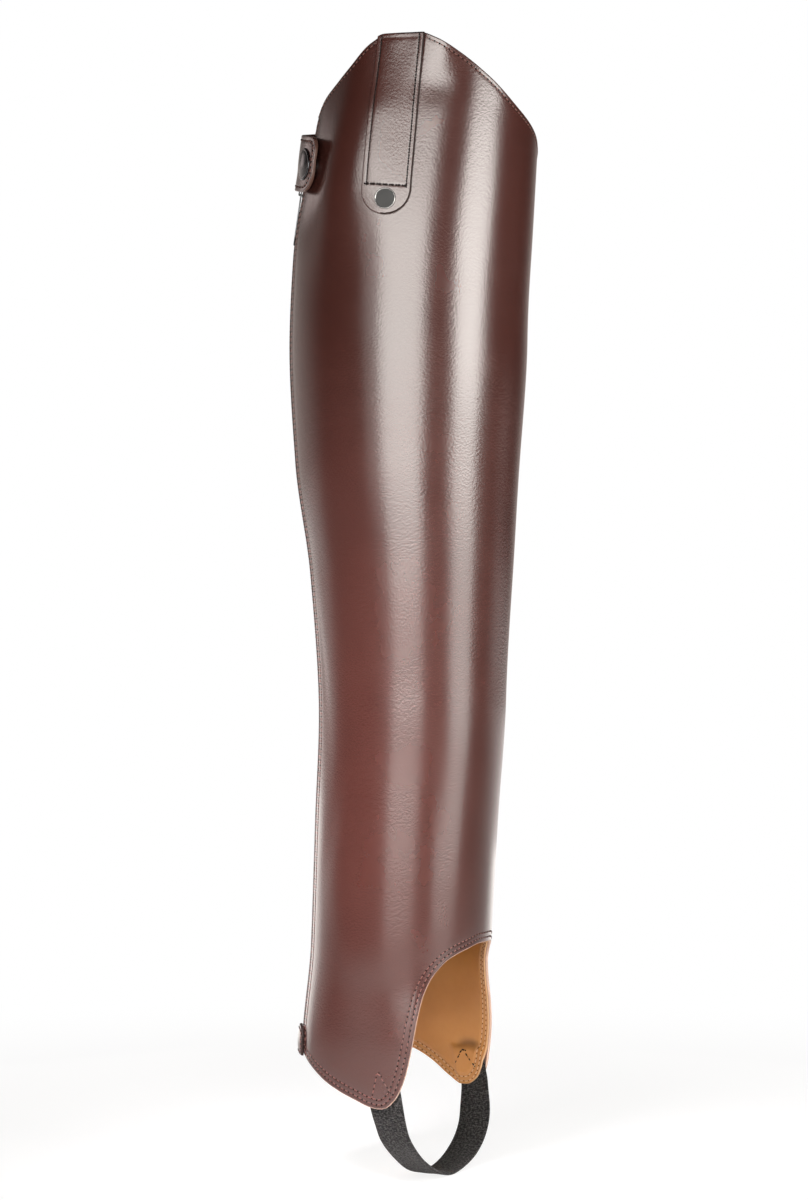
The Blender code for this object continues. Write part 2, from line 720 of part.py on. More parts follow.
def make_foot_strap():
    """A flat band from the outer low point, under the sole, to the inner low point."""
    faces = [[], []]
    step = 1.0 / STRAP_ROWS
    for r in range(STRAP_ROWS + 1):
        t = r * step
        centre = strap_point(t)
        ahead = strap_point(min(t + step / 2, 1.0)) - strap_point(max(t - step / 2, 0.0))
        width = Vector((0.0, -1.0, 0.0))
        outwards = width.cross(ahead).normalized()
        if outwards.dot(Vector((centre.x, 0.0, centre.z + 320.0))) < 0.0:
            outwards.negate()
        for grid, offset in zip(faces, (0.0, -STRAP_THICKNESS)):
            row = []
            for c in range(STRAP_COLUMNS + 1):
                across = mix(-STRAP_WIDTH / 2, STRAP_WIDTH / 2, c / STRAP_COLUMNS)
                place = centre + width * across + outwards * offset
                if r in (0, STRAP_ROWS):
                    place.z = min(hem_under(place) - STRAP_SEAM_GAP, STRAP_TOP)
                row.append(place)
            grid.append(row)
    return slab("foot_strap", *faces, BLACK_ELASTIC)


def clear_scene():
    for old in list(bpy.data.objects):
        bpy.data.objects.remove(old)


def main():
    clear_scene()
    make_leg_panel()
    make_lining()
    make_pull_strip()
    make_badge()
    make_snap_tab()
    make_snap()
    make_zip()
    make_zip_slider()
    make_zip_pull()
    make_zip_stops()
    make_zip_guard()
    make_foot_strap()


main()
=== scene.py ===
import math

import bmesh
import bpy
import numpy as np
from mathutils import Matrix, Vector


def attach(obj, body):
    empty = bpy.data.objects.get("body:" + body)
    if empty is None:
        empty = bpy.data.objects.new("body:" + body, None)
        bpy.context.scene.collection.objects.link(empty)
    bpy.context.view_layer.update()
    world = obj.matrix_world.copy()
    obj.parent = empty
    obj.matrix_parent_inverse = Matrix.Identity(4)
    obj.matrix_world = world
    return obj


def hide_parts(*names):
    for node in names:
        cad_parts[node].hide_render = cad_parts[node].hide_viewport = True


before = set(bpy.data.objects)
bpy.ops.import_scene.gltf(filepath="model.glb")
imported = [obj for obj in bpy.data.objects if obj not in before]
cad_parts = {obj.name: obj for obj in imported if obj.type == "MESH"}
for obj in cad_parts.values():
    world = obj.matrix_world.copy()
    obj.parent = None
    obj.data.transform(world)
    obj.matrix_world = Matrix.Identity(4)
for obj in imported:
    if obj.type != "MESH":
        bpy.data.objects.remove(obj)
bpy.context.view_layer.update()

print("half chap: packed model loaded")

# Shapes are worked out in millimetres and made into meshes in metres.
# The shin faces -Y and the leg's outer side faces -X. A place on the leather is an angle in degrees
# (0 at the shin, rising to the outer side), a height, and how far it stands out from the leather.
mm = 0.001


# node trees
def feed(tree, node, values):
    # inputs by their names, or by number as in _0, each from a link or a fixed value
    for label, value in values.items():
        socket = node.inputs[int(label[1:]) if label[0] == "_" else label.replace("_", " ")]
        if isinstance(value, bpy.types.NodeSocket):
            tree.links.new(value, socket)
        elif value is not None:
            socket.default_value = value


def addNode(tree, kind, settings=None, **values):
    node = tree.nodes.new(kind)
    for label, value in (settings or {}).items():
        setattr(node, label, value)
    feed(tree, node, values)
    return node


def calculate(tree, operation, first, second=None, third=None):
    settings = {"operation": operation}
    return addNode(tree, "ShaderNodeMath", settings, _0=first, _1=second, _2=third).outputs[0]


def remap(tree, value, low, high, first=0.0, last=1.0, curve="LINEAR"):
    # what runs from low to high is made to run from first to last
    return addNode(tree, "ShaderNodeMapRange", {"interpolation_type": curve}, Value=value, From_Min=low,
                   From_Max=high, To_Min=first, To_Max=last).outputs["Result"]


# camera and lights
studio = {
    "viewTurn": 28.5,          # degrees from +X that the camera looks along
    "distance": 1.4,
    "height": -0.1115,
    "aside": -0.002,
    "lens": 94.17,
    "floorHeight": -0.3672,
}


def aimAt(thing, place, target):
    thing.location = place
    thing.rotation_mode = "QUATERNION"
    thing.rotation_quaternion = (Vector(target) - Vector(place)).to_track_quat("-Z", "Y")


viewTurn = math.radians(studio["viewTurn"])
ahead = Vector((math.cos(viewTurn), math.sin(viewTurn), 0.0))
toRight = Vector((math.sin(viewTurn), -math.cos(viewTurn), 0.0))

camera = bpy.data.objects.new("camera", bpy.data.cameras.new("camera"))
bpy.context.collection.objects.link(camera)
camera.data.lens = studio["lens"]
camera.data.sensor_width = 36.0
camera.data.clip_start = 0.05
eye = -ahead * studio["distance"] + toRight * studio["aside"] + Vector((0, 0, studio["height"]))
aimAt(camera, eye, eye + ahead)
bpy.context.scene.camera = camera


def addLamp(name, place, target, width, length, watts, colour):
    # a soft light that the camera doesn't see
    lamp = bpy.data.objects.new(name, bpy.data.lights.new(name, "AREA"))
    bpy.context.collection.objects.link(lamp)
    lamp.data.shape = "RECTANGLE"
    lamp.data.size = width
    lamp.data.size_y = length
    lamp.data.energy = watts
    lamp.data.color = colour
    lamp.visible_camera = False
    aimAt(lamp, place, target)
    return lamp


def fromLeg(angle, steepness=0.0):
    # the direction to a lamp, by its angle round the leg from the camera, positive to the picture's right
    turn, rise = math.radians(angle), math.radians(steepness)
    side = -ahead * math.cos(turn) + toRight * math.sin(turn)
    return side * math.cos(rise) + Vector((0, 0, math.sin(rise)))


def addWindow(name, angle, distance, height, width, length, watts, colour):
    middle = Vector((0, 0, height))
    return addLamp(name, middle + fromLeg(angle) * distance, middle, width, length, watts, colour)


windowColour = (1.0, 0.985, 0.94)
rosyColour = (1.0, 0.84, 0.81)
lights = [
    # name, angle, distance, height of its middle, width, length, watts, colour
    ("mainWindow", -6.0, 0.6, 0.013, 0.435, 0.366, 3.55, windowColour),
    ("mainLow", -6.0, 0.6, -0.235, 0.435, 0.130, 0.34, windowColour),
    ("mainEdge", -34, 0.6, 0.010, 0.13, 0.36, 0.14, windowColour),
    ("sideStrip", 58, 0.6, 0.030, 0.31, 0.240, 2.25, windowColour),
    ("sideLow", 58, 0.6, -0.195, 0.31, 0.210, 0.78, windowColour),
]
for row in lights:
    addWindow(*row)

ankleLight = {
    "height": -0.29,           # of the ankle that it lights
    "angle": -25,
    "steepness": 50,           # degrees above the ankle, too steep to show as a highlight
    "distance": 0.5,
    "size": 0.15,
    "spread": 42,
    "watts": 0.34,
    "colour": (1.0, 0.92, 0.97),
}
ankle = Vector((0, 0, ankleLight["height"]))
ankleLamp = addLamp(
    "ankleLight", ankle + fromLeg(ankleLight["angle"], ankleLight["steepness"]) * ankleLight["distance"],
    ankle, ankleLight["size"], ankleLight["size"], ankleLight["watts"], ankleLight["colour"])
ankleLamp.data.spread = math.radians(ankleLight["spread"])

# Pale cards that show only as highlights: behind the leg for its edges, two for the strip, one for the tab
cards = [
    # the same columns
    ("leftLowCard", -146, 0.40, -0.285, 0.26, 0.150, 0.20, windowColour),
    ("leftHighCard", -146, 0.40, -0.160, 0.26, 0.100, 0.04, windowColour),
    ("rightLowCard", 150, 0.40, -0.310, 0.20, 0.100, 0.07, windowColour),
    ("stripCard", -33, 0.60, 0.182, 0.22, 0.090, 0.29, windowColour),
    ("stripHighCard", -25, 0.60, 0.248, 0.24, 0.050, 0.17, windowColour),
    ("tabCard", -131, 0.40, 0.165, 0.12, 0.055, 0.028, rosyColour),
]
for row in cards:
    addWindow(*row).visible_diffuse = False

room = {
    "frontLight": 0.02,        # how bright the dim side of the room is, behind the camera
    "backLight": 0.80,         # and the pale backdrop behind the leg
    "backTurn": 0.4,           # how far the backdrop lies to the picture's left
    "backEdge": 0.35,          # where it fades out, as a share of facing it
    "dimFrom": 0.09,           # how far up it starts to dim
    "dimTo": 0.22,
    "dimmed": 0.2,
    "colour": (1.0, 0.88, 0.82, 1),
    "seenWhite": 1.0,          # the ground as the camera sees it
}
world = bpy.data.worlds.new("studio")
bpy.context.scene.world = world
world.use_nodes = True
sky = world.node_tree
sky.nodes.clear()
direction = addNode(sky, "ShaderNodeTexCoord").outputs["Generated"]
towards = addNode(sky, "ShaderNodeVectorMath", {"operation": "DOT_PRODUCT"}, _0=direction,
                  _1=(ahead - toRight * room["backTurn"]).normalized()).outputs["Value"]
upward = addNode(sky, "ShaderNodeSeparateXYZ", Vector=direction).outputs["Z"]
bright = remap(sky, towards, room["backEdge"], 1.0, room["frontLight"], room["backLight"], "SMOOTHSTEP")
dimming = remap(sky, upward, room["dimFrom"], room["dimTo"], 1.0, room["dimmed"], "SMOOTHSTEP")
around = addNode(sky, "ShaderNodeBackground", Color=room["colour"],
                 Strength=calculate(sky, "MULTIPLY", bright, dimming))
seen = addNode(sky, "ShaderNodeBackground", Color=(1, 1, 1, 1), Strength=room["seenWhite"])
mixed = addNode(sky, "ShaderNodeMixShader", _0=addNode(sky, "ShaderNodeLightPath").outputs["Is Camera Ray"],
                _1=around.outputs[0], _2=seen.outputs[0])
addNode(sky, "ShaderNodeOutputWorld", Surface=mixed.outputs[0])
bpy.context.scene.view_settings.view_transform = "Standard"


# the leg's form and the leather's edges
def curveThrough(rows, column):
    # one smooth curve through a column of a table, with no overshoot; the first column is the key
    keys = np.array([row[0] for row in rows], float)
    values = np.array([row[column] for row in rows], float)
    steps = np.diff(values) / np.diff(keys)
    slopes = np.empty(len(keys))
    slopes[0], slopes[-1] = steps[0], steps[-1]
    both = steps[:-1] * steps[1:]
    total = steps[:-1] + steps[1:]
    slopes[1:-1] = np.where(both > 0, 2 * both / np.where(total == 0, 1, total), 0)

    def at(key):
        key = np.clip(np.asarray(key, float), keys[0], keys[-1])
        low = np.clip(np.searchsorted(keys, key) - 1, 0, len(keys) - 2)
        span = keys[low + 1] - keys[low]
        t = (key - keys[low]) / span
        return ((2 * t ** 3 - 3 * t ** 2 + 1) * values[low]
                + (t ** 3 - 2 * t ** 2 + t) * slopes[low] * span
                + (3 * t ** 2 - 2 * t ** 3) * values[low + 1]
                + (t ** 3 - t ** 2) * slopes[low + 1] * span)
    return at


legSections = [
    # height, forward, half width, squareness of the front half
    (-345, -6.3, 42.0, 3.5),
    (-310, -5.8, 42.4, 3.25),
    (-265, -3.8, 40.2, 2.0),
    (-210, -1.0, 40.8, 2.0),
    (-155, 2.0, 41.8, 2.0),
    (-100, 1.6, 45.2, 2.0),
    (-50, -0.5, 50.1, 2.0),
    (5, 0.0, 53.1, 2.0),
    (40, 1.8, 53.1, 2.0),
    (95, 9.2, 49.7, 2.0),
    (145, 16.5, 46.5, 2.0),
]
legForward, legHalfWidth, legSquareness = (curveThrough(legSections, c) for c in (1, 2, 3))

zipLine = {
    "angle": 148.0,
    "halfGap": 4.5,            # degrees of open leather on each side of the teeth
}
outerZipEdge = zipLine["angle"] - zipLine["halfGap"]
innerZipEdge = zipLine["angle"] + zipLine["halfGap"] - 360.0

topEdge = curveThrough([
    # angle, height
    (innerZipEdge, 102.0), (-190, 96.0), (-150, 86.0), (-110, 79.0), (-75, 78.0), (-45, 83.0),
    (-17.5, 92.5), (9, 102.4), (31, 114.3), (49, 123.8), (64, 130.3), (70, 132.0), (90, 132.2),
    (98.5, 128.6), (109.5, 119.8), (121, 113.6), (134, 108.3), (outerZipEdge, 103.0),
], 1)
hemEdge = curveThrough([
    (innerZipEdge, -312.0), (-150, -312.0), (-125, -313.5), (-108, -317.3), (-95, -322.4),
    (-82, -329.0), (-74, -332.0), (-68, -331.9), (-61, -328.6), (-57.5, -323.0), (-55, -312.0),
    (-52, -296.0), (-48.5, -282.0), (-42, -271.5), (-31, -265.2), (-15, -262.6), (2, -262.4),
    (18.6, -264.4), (31, -267.4), (41.7, -274.1), (47.8, -282.8), (51, -293.0), (53.3, -303.9),
    (56, -315.3), (58.9, -322.9), (62.4, -328.0), (67.6, -331.7), (71, -332.2), (77, -331.6),
    (86, -329.2), (107, -323.1), (123, -317.6), (outerZipEdge, -311.5),
], 1)
hemRadius = 42.0
topRadius = 49.0
meanRadius = 46.0              # for folds, flat maps and the elastic's ends
ankleMiddle = 61.0             # degrees round the leg, for the fullness above the ankle
ankleReach = 70.0

ankleFullness = curveThrough([
    # height, how far the leather stands fuller on the outer side, above its flare
    (-312, 0.0), (-300, 0.4), (-285, 1.8), (-265, 4.2), (-240, 3.3), (-210, 1.7), (-180, 0.4), (-150, 0.0),
], 1)
stripFullness = curveThrough([
    # angle, how far the stiff leather under the strip stands fuller
    (60, 0.0), (70, 0.30), (80, 1.25), (88, 2.55), (95, 3.60), (100, 3.95), (103, 4.0), (107, 3.6),
    (114, 2.0), (120, 0.75), (126, 0.2), (133, 0.0),
], 1)
stripReach = curveThrough([
    # height, share of that fullness
    (25, 0.0), (45, 0.30), (66, 0.85), (82, 1.0), (98, 0.85), (112, 0.50), (132, 0.25),
], 1)


def legRadius(angle, height):
    turn = np.radians(angle)
    power = np.where(np.cos(turn) > 0, legSquareness(height), 2.0)
    squared = np.abs(np.sin(turn)) ** power + np.abs(np.cos(turn)) ** power
    aside = np.clip((np.asarray(angle, float) - ankleMiddle) / ankleReach, -1, 1)
    fuller = ankleFullness(height) * np.cos(np.pi / 2 * aside) ** 2
    fuller = fuller + stripFullness(angle) * stripReach(height)
    return legHalfWidth(height) * squared ** (-1 / power) + fuller


def onLeg(angle, height, out=0.0):
    angle, height, out = np.broadcast_arrays(*(np.asarray(v, float) for v in (angle, height, out)))
    turn = np.radians(angle)
    reach = legRadius(angle, height) + out
    return np.stack([-reach * np.sin(turn), -legForward(height) - reach * np.cos(turn), height], -1)


def outwardAt(angle, height):
    upward = onLeg(angle, np.asarray(height) + 1.0) - onLeg(angle, np.asarray(height) - 1.0)
    sideways = onLeg(np.asarray(angle) + 0.5, height) - onLeg(np.asarray(angle) - 0.5, height)
    facing = np.cross(upward, sideways)
    return facing / np.linalg.norm(facing, axis=-1, keepdims=True)


def smoothStep(value, low, high):
    t = np.clip((np.asarray(value, float) - low) / (high - low), 0, 1)
    return t * t * (3 - 2 * t)


def edgePath(edge, radius, inwardSign):
    # an edge of the leather laid flat: where it is at a length along it, and its direction inwards
    angles = np.linspace(innerZipEdge, outerZipEdge, 2400)
    flat = np.stack([np.radians(angles) * radius, edge(angles)], -1)
    along = np.concatenate([[0], np.cumsum(np.linalg.norm(np.diff(flat, axis=0), axis=1))])
    tangent = np.gradient(flat, along, axis=0)
    inward = np.stack([-tangent[:, 1], tangent[:, 0]], -1) * inwardSign
    inward[:, 1] = np.where(np.abs(inward[:, 1]) < 1e-9, 1e-9 * inwardSign, inward[:, 1])
    even = np.arange(0, along[-1], 0.25)
    softened = np.stack([np.convolve(np.pad(np.interp(even, along, inward[:, k]), 8, "edge"),
                                     np.ones(17) / 17, "valid") for k in (0, 1)], -1)
    softened /= np.linalg.norm(softened, axis=1, keepdims=True)

    def at(length, inset):
        # inset points square to the edge, and straight along the zip near the zip
        length = np.asarray(length, float)
        into = np.stack([np.interp(length, even, softened[:, k]) for k in (0, 1)], -1)
        nearZip = np.minimum(length, along[-1] - length)
        square = smoothStep(nearZip, 0.0, 8.0)[..., None]
        into = into * square + np.array([0.0, inwardSign]) * (1 - square)
        into /= np.linalg.norm(into, axis=-1, keepdims=True)
        angle = np.interp(length, along, angles) + np.degrees(into[..., 0] * inset / radius)
        height = np.interp(length, along, flat[:, 1]) + into[..., 1] * inset
        return angle, height

    def lengthAt(angle):
        return np.interp(angle, angles, along)
    return at, lengthAt


hemAt, hemLengthAt = edgePath(hemEdge, hemRadius, 1)
topAt, topLengthAt = edgePath(topEdge, topRadius, -1)


def addMesh(name, points, faces, finish=None, values=None, uv=None):
    # points in millimetres; values and uv are numbers and pairs kept on the points
    mesh = bpy.data.meshes.new(name)
    mesh.from_pydata((np.asarray(points, float) * mm).tolist(), [], [list(map(int, f)) for f in faces])
    mesh.update()
    made = bpy.data.objects.new(name, mesh)
    bpy.context.collection.objects.link(made)
    for label, numbers in (values or {}).items():
        layer = mesh.attributes.new(label, "FLOAT", "POINT")
        layer.data.foreach_set("value", np.asarray(numbers, np.float32).ravel())
    if uv is not None:
        layer = mesh.uv_layers.new(name="flat")
        corners = np.empty(len(mesh.loops), np.int32)
        mesh.loops.foreach_get("vertex_index", corners)
        layer.data.foreach_set("uv", np.asarray(uv, np.float32)[corners].ravel())
    mesh.polygons.foreach_set("use_smooth", [True] * len(mesh.polygons))
    if finish is not None:
        mesh.materials.append(finish)
    return made


def gridFaces(rows, columns, start=0, flip=False):
    index = start + np.arange(rows * columns).reshape(rows, columns)
    a, b, c, d = index[:-1, :-1], index[:-1, 1:], index[1:, 1:], index[1:, :-1]
    quads = np.stack([a, d, c, b] if flip else [a, b, c, d], -1)
    return quads.reshape(-1, 4)


def faceOutwards(made):
    # a closed piece, with its faces turned out
    shape = bmesh.new()
    shape.from_mesh(made.data)
    if shape.calc_volume(signed=True) < 0:
        bmesh.ops.reverse_faces(shape, faces=shape.faces)
        shape.to_mesh(made.data)
    shape.free()
    return made


def wallFrom(name, face, back, finish, values=None, uv=None):
    # a closed wall between two grids of the same rows and columns
    # each of the values is one grid for both of them, or a pair of grids
    rows, columns = face.shape[:2]
    count = rows * columns
    outer = gridFaces(rows, columns)
    inner = gridFaces(rows, columns, count, True)
    index = np.arange(count).reshape(rows, columns)
    rim = np.concatenate([index[0, :], index[1:, -1], index[-1, -2::-1], index[-2:0:-1, 0]])
    after = np.roll(rim, -1)
    wall = np.stack([after, rim, rim + count, after + count], -1)
    points = np.concatenate([face.reshape(-1, 3), back.reshape(-1, 3)])
    faces = np.concatenate([outer, inner, wall])
    pairs = {label: v if isinstance(v, tuple) else (v, v) for label, v in (values or {}).items()}
    kept = {label: np.concatenate([v.ravel() for v in pair]) for label, pair in pairs.items()}
    flat = None if uv is None else np.concatenate([uv.reshape(-1, 2)] * 2)
    return faceOutwards(addMesh(name, points, faces, finish, values=kept, uv=flat))


def roundedEdge(distance, radius=0.45):
    # how far the face of the leather falls away near its cut edge
    short = np.clip(radius - np.asarray(distance, float), 0, radius)
    return radius - np.sqrt(radius ** 2 - short ** 2)


def leatherDepth(fromTop, fromHem):
    near = smoothStep(np.minimum(fromTop, fromHem), 2.0, 16.0)
    return panel["skived"] + (panel["thickness"] - panel["skived"]) * near


def seamTrough(distance, seams, depth=0.06, half=0.6):
    # the leather drawn down along a row of stitches
    return sum(depth * np.exp(-((np.asarray(distance, float) - seam) / half) ** 2) for seam in seams)


def applied(made):
    # the object with its modifiers in its mesh
    bpy.context.view_layer.update()
    graph = bpy.context.evaluated_depsgraph_get()
    mesh = bpy.data.meshes.new_from_object(made.evaluated_get(graph))
    made.modifiers.clear()
    made.data = mesh
    return made


def belongs(piece, replaced=(), body="chap"):
    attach(piece, body)
    if replaced:
        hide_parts(*replaced)
    return piece


print("half chap: camera, lights and the leg's form ready")

# patterns that several finishes share
floatIn, vectorIn = "NodeSocketFloat", "NodeSocketVector"


def startGroup(name, inputs, outputs):
    tree = bpy.data.node_groups.new(name, "ShaderNodeTree")
    for label, kind, value in inputs:
        socket = tree.interface.new_socket(label, in_out="INPUT", socket_type=kind)
        if value is not None:
            socket.default_value = value
    for label, kind in outputs:
        tree.interface.new_socket(label, in_out="OUTPUT", socket_type=kind)
    return tree, tree.nodes.new("NodeGroupInput").outputs, tree.nodes.new("NodeGroupOutput")


def makeLeatherGrain():
    # fine pebbles with pores, and the slow unevenness of a dyed hide
    tree, given, result = startGroup(
        "leatherGrain",
        [("Place", vectorIn, None), ("Pebble Size", floatIn, 0.0011), ("Patch Size", floatIn, 0.03)],
        [("Height", floatIn), ("Patches", floatIn), ("Pores", floatIn)])
    place = given["Place"]
    pebbleScale = calculate(tree, "DIVIDE", 1.0, given["Pebble Size"])
    patchScale = calculate(tree, "DIVIDE", 1.0, given["Patch Size"])
    wander = addNode(tree, "ShaderNodeTexNoise", Vector=place, Scale=260.0, Detail=2.0)
    bent = addNode(tree, "ShaderNodeVectorMath", {"operation": "MULTIPLY_ADD"},
                   _0=wander.outputs["Color"], _1=(0.0009, 0.0009, 0.0009), _2=place)
    pebbles = addNode(tree, "ShaderNodeTexVoronoi", {"feature": "SMOOTH_F1"}, Vector=bent.outputs[0],
                      Scale=pebbleScale, Smoothness=0.35).outputs["Distance"]
    fine = addNode(tree, "ShaderNodeTexNoise", Vector=place,
                   Scale=calculate(tree, "MULTIPLY", pebbleScale, 2.3), Detail=3.0, Roughness=0.6)
    domes = calculate(tree, "SUBTRACT", 1.0, pebbles)
    patches = addNode(tree, "ShaderNodeTexNoise", Vector=place, Scale=patchScale, Detail=4.0,
                      Roughness=0.55)
    feed(tree, result, {
        "Height": calculate(tree, "MULTIPLY_ADD", fine.outputs["Fac"], 0.45, domes),
        "Patches": patches.outputs["Fac"], "Pores": remap(tree, pebbles, 0.45, 0.85)})
    return tree


def makeWovenRibs():
    # threads that cross, from a flat map in metres
    tree, given, result = startGroup(
        "wovenRibs",
        [("Flat", vectorIn, None), ("Across Pitch", floatIn, 0.0009), ("Along Pitch", floatIn, 0.0006),
         ("Slant", floatIn, 0.0)],
        [("Height", floatIn), ("Shade", floatIn)])
    parts = addNode(tree, "ShaderNodeSeparateXYZ", Vector=given["Flat"])
    across, along = parts.outputs["X"], parts.outputs["Y"]
    slanted = calculate(tree, "MULTIPLY_ADD", across, given["Slant"], along)

    def wave(place, pitch):
        turns = calculate(tree, "DIVIDE", place, given[pitch])
        return calculate(tree, "SINE", calculate(tree, "MULTIPLY", turns, 2 * math.pi))

    ribs, picks = wave(across, "Across Pitch"), wave(slanted, "Along Pitch")
    crossed = calculate(tree, "MULTIPLY", ribs, picks)
    raised = calculate(tree, "MULTIPLY_ADD", calculate(tree, "ABSOLUTE", ribs), 0.4, 0.5)
    height = calculate(tree, "MULTIPLY_ADD", crossed, 0.35, raised)
    fuzz = addNode(tree, "ShaderNodeTexNoise", Vector=given["Flat"], Scale=950.0, Detail=3.0, Roughness=0.7)
    flecks = remap(tree, fuzz.outputs["Fac"], 0.44, 0.64, 0.0, 1.5)
    feed(tree, result, {"Height": height, "Shade": calculate(tree, "MULTIPLY", height, flecks)})
    return tree


def makeHandling():
    # faint scuffs and haze that change how glossy a surface is
    tree, given, result = startGroup(
        "handling", [("Place", vectorIn, None), ("Size", floatIn, 0.02)],
        [("Haze", floatIn), ("Scuffs", floatIn)])
    scale = calculate(tree, "DIVIDE", 1.0, given["Size"])
    haze = addNode(tree, "ShaderNodeTexNoise", Vector=given["Place"], Scale=scale, Detail=5.0)
    streaks = addNode(tree, "ShaderNodeMapping", {"vector_type": "POINT"}, Vector=given["Place"],
                      Scale=(1.0, 1.0, 0.35))
    marks = addNode(tree, "ShaderNodeTexNoise", Vector=streaks.outputs[0],
                    Scale=calculate(tree, "MULTIPLY", scale, 14.0), Detail=3.0, Roughness=0.7)
    feed(tree, result, {"Haze": haze.outputs["Fac"],
                        "Scuffs": remap(tree, marks.outputs["Fac"], 0.6, 0.78)})
    return tree


leatherGrain = makeLeatherGrain()
wovenRibs = makeWovenRibs()
handling = makeHandling()


def startFinish(name):
    material = bpy.data.materials.new(name)
    material.use_nodes = True
    tree = material.node_tree
    return material, tree, tree.nodes["Principled BSDF"]


def placeOn(tree):
    return addNode(tree, "ShaderNodeTexCoord").outputs["Object"]


def useGroup(tree, group, **values):
    return addNode(tree, "ShaderNodeGroup", {"node_tree": group}, **values).outputs


def blendColours(tree, amount, first, second):
    return addNode(tree, "ShaderNodeMix", {"data_type": "RGBA"}, _0=amount, _6=first, _7=second).outputs[2]


def bumpFrom(tree, height, strength, distance):
    return addNode(tree, "ShaderNodeBump", Height=height, Strength=strength, Distance=distance).outputs[0]


def attribute(tree, name):
    return addNode(tree, "ShaderNodeAttribute", {"attribute_name": name}).outputs["Fac"]


leatherLooks = {
    # gloss is the roughness; grain and pebble are its depth and size in metres
    "oxblood": dict(dye=(0.060, 0.0180, 0.0138, 1), deep=(0.050, 0.0150, 0.0116, 1),
                    rawEdge=(0.50, 0.33, 0.25, 1), inkedEdgeAndShade=(0.010, 0.006, 0.005, 1),
                    back=(0.23, 0.115, 0.075, 1), gloss=0.235, grain=0.00006, pebble=0.0010, specular=1.0),
    # on the tan lining the inked-edge tint is painted shade, laid in the creases over the elastic's ends
    "tan": dict(dye=(0.47, 0.21, 0.055, 1), deep=(0.35, 0.14, 0.030, 1),
                rawEdge=(0.50, 0.30, 0.16, 1), inkedEdgeAndShade=(0.10, 0.045, 0.02, 1),
                back=(0.44, 0.205, 0.065, 1), gloss=0.52, grain=0.00006, pebble=0.0014, specular=0.5),
}


def makeLeather(name, dye, deep, rawEdge, inkedEdgeAndShade, back, gloss, grain, pebble, specular):
    material, tree, shader = startFinish(name)
    place = placeOn(tree)
    hide = useGroup(tree, leatherGrain, Place=place, Pebble_Size=pebble, Patch_Size=0.035)
    worn = useGroup(tree, handling, Place=place, Size=0.018)
    colour = blendColours(tree, remap(tree, hide["Patches"], 0.3, 0.7), deep, dye)
    rough = calculate(tree, "MULTIPLY_ADD", worn["Haze"], 0.06, gloss - 0.03)
    rough = calculate(tree, "MULTIPLY_ADD", worn["Scuffs"], 0.03, rough)
    plain = 0.0
    # the inked-edge layer is real edge paint on the oxblood pieces, and painted shade in the lining's creases
    for layer, tint in (("inkedEdgeAndShade", inkedEdgeAndShade), ("rawEdge", rawEdge), ("backFace", back)):
        share = attribute(tree, layer)
        colour = blendColours(tree, share, colour, tint)
        plain = calculate(tree, "MAXIMUM", share, plain)
    feed(tree, shader, {
        "Base Color": colour, "Roughness": calculate(tree, "MULTIPLY_ADD", plain, 0.40, rough),
        "Normal": bumpFrom(tree, hide["Height"], 0.55, grain), "Specular IOR Level": specular})
    return material


oxbloodLeather = makeLeather("oxbloodLeather", **leatherLooks["oxblood"])
tanLeather = makeLeather("tanLeather", **leatherLooks["tan"])


def makeThread(name, colour):
    material, tree, shader = startFinish(name)
    twist = addNode(tree, "ShaderNodeTexNoise", Vector=placeOn(tree), Scale=3200.0, Detail=2.0).outputs["Fac"]
    darker = tuple(c * 0.45 for c in colour[:3]) + (1,)
    feed(tree, shader, {
        "Base Color": blendColours(tree, twist, darker, colour), "Roughness": 0.70,
        "Specular IOR Level": 0.25, "Normal": bumpFrom(tree, twist, 0.6, 0.00008)})
    return material


darkThread = makeThread("darkThread", (0.010, 0.005, 0.004, 1))
oxbloodThread = makeThread("oxbloodThread", (0.22, 0.11, 0.095, 1))
tanThread = makeThread("tanThread", (0.78, 0.50, 0.29, 1))


def makeNeedleHoleShade():
    material, tree, shader = startFinish("needleHoleShade")
    # the needle hole's darkness is painted shade: a near-black bead, its tone varied at random
    holeShadeMottle = addNode(tree, "ShaderNodeTexNoise", Vector=placeOn(tree), Scale=2400.0, Detail=2.0).outputs["Fac"]
    feed(tree, shader, {
        "Base Color": blendColours(tree, holeShadeMottle, (0.003, 0.0015, 0.001, 1), (0.010, 0.005, 0.004, 1)),
        "Roughness": 0.9, "Specular IOR Level": 0.2})
    return material


needleHoleShade = makeNeedleHoleShade()


def makeEdgePaint():
    # the dark paint on the patches' cut edges
    material, tree, shader = startFinish("edgePaint")
    haze = useGroup(tree, handling, Place=placeOn(tree), Size=0.006)["Haze"]
    feed(tree, shader, {
        "Base Color": blendColours(tree, haze, (0.008, 0.004, 0.003, 1), (0.026, 0.012, 0.010, 1)),
        "Roughness": calculate(tree, "MULTIPLY_ADD", haze, 0.2, 0.55), "Specular IOR Level": 0.25})
    return material


edgePaint = makeEdgePaint()


def makeWoven(name, colour, light, acrossPitch, alongPitch, slant, depth):
    material, tree, shader = startFinish(name)
    flat = addNode(tree, "ShaderNodeUVMap", {"uv_map": "flat"}).outputs["UV"]
    ribs = useGroup(tree, wovenRibs, Flat=flat, Across_Pitch=acrossPitch, Along_Pitch=alongPitch,
                    Slant=slant)
    feed(tree, shader, {
        "Base Color": blendColours(tree, ribs["Shade"], colour, light),
        "Roughness": calculate(tree, "MULTIPLY_ADD", ribs["Shade"], -0.15, 0.92),
        "Normal": bumpFrom(tree, ribs["Height"], 0.9, depth), "Specular IOR Level": 0.3,
        "Sheen Weight": 0.05, "Sheen Roughness": 0.5})
    return material


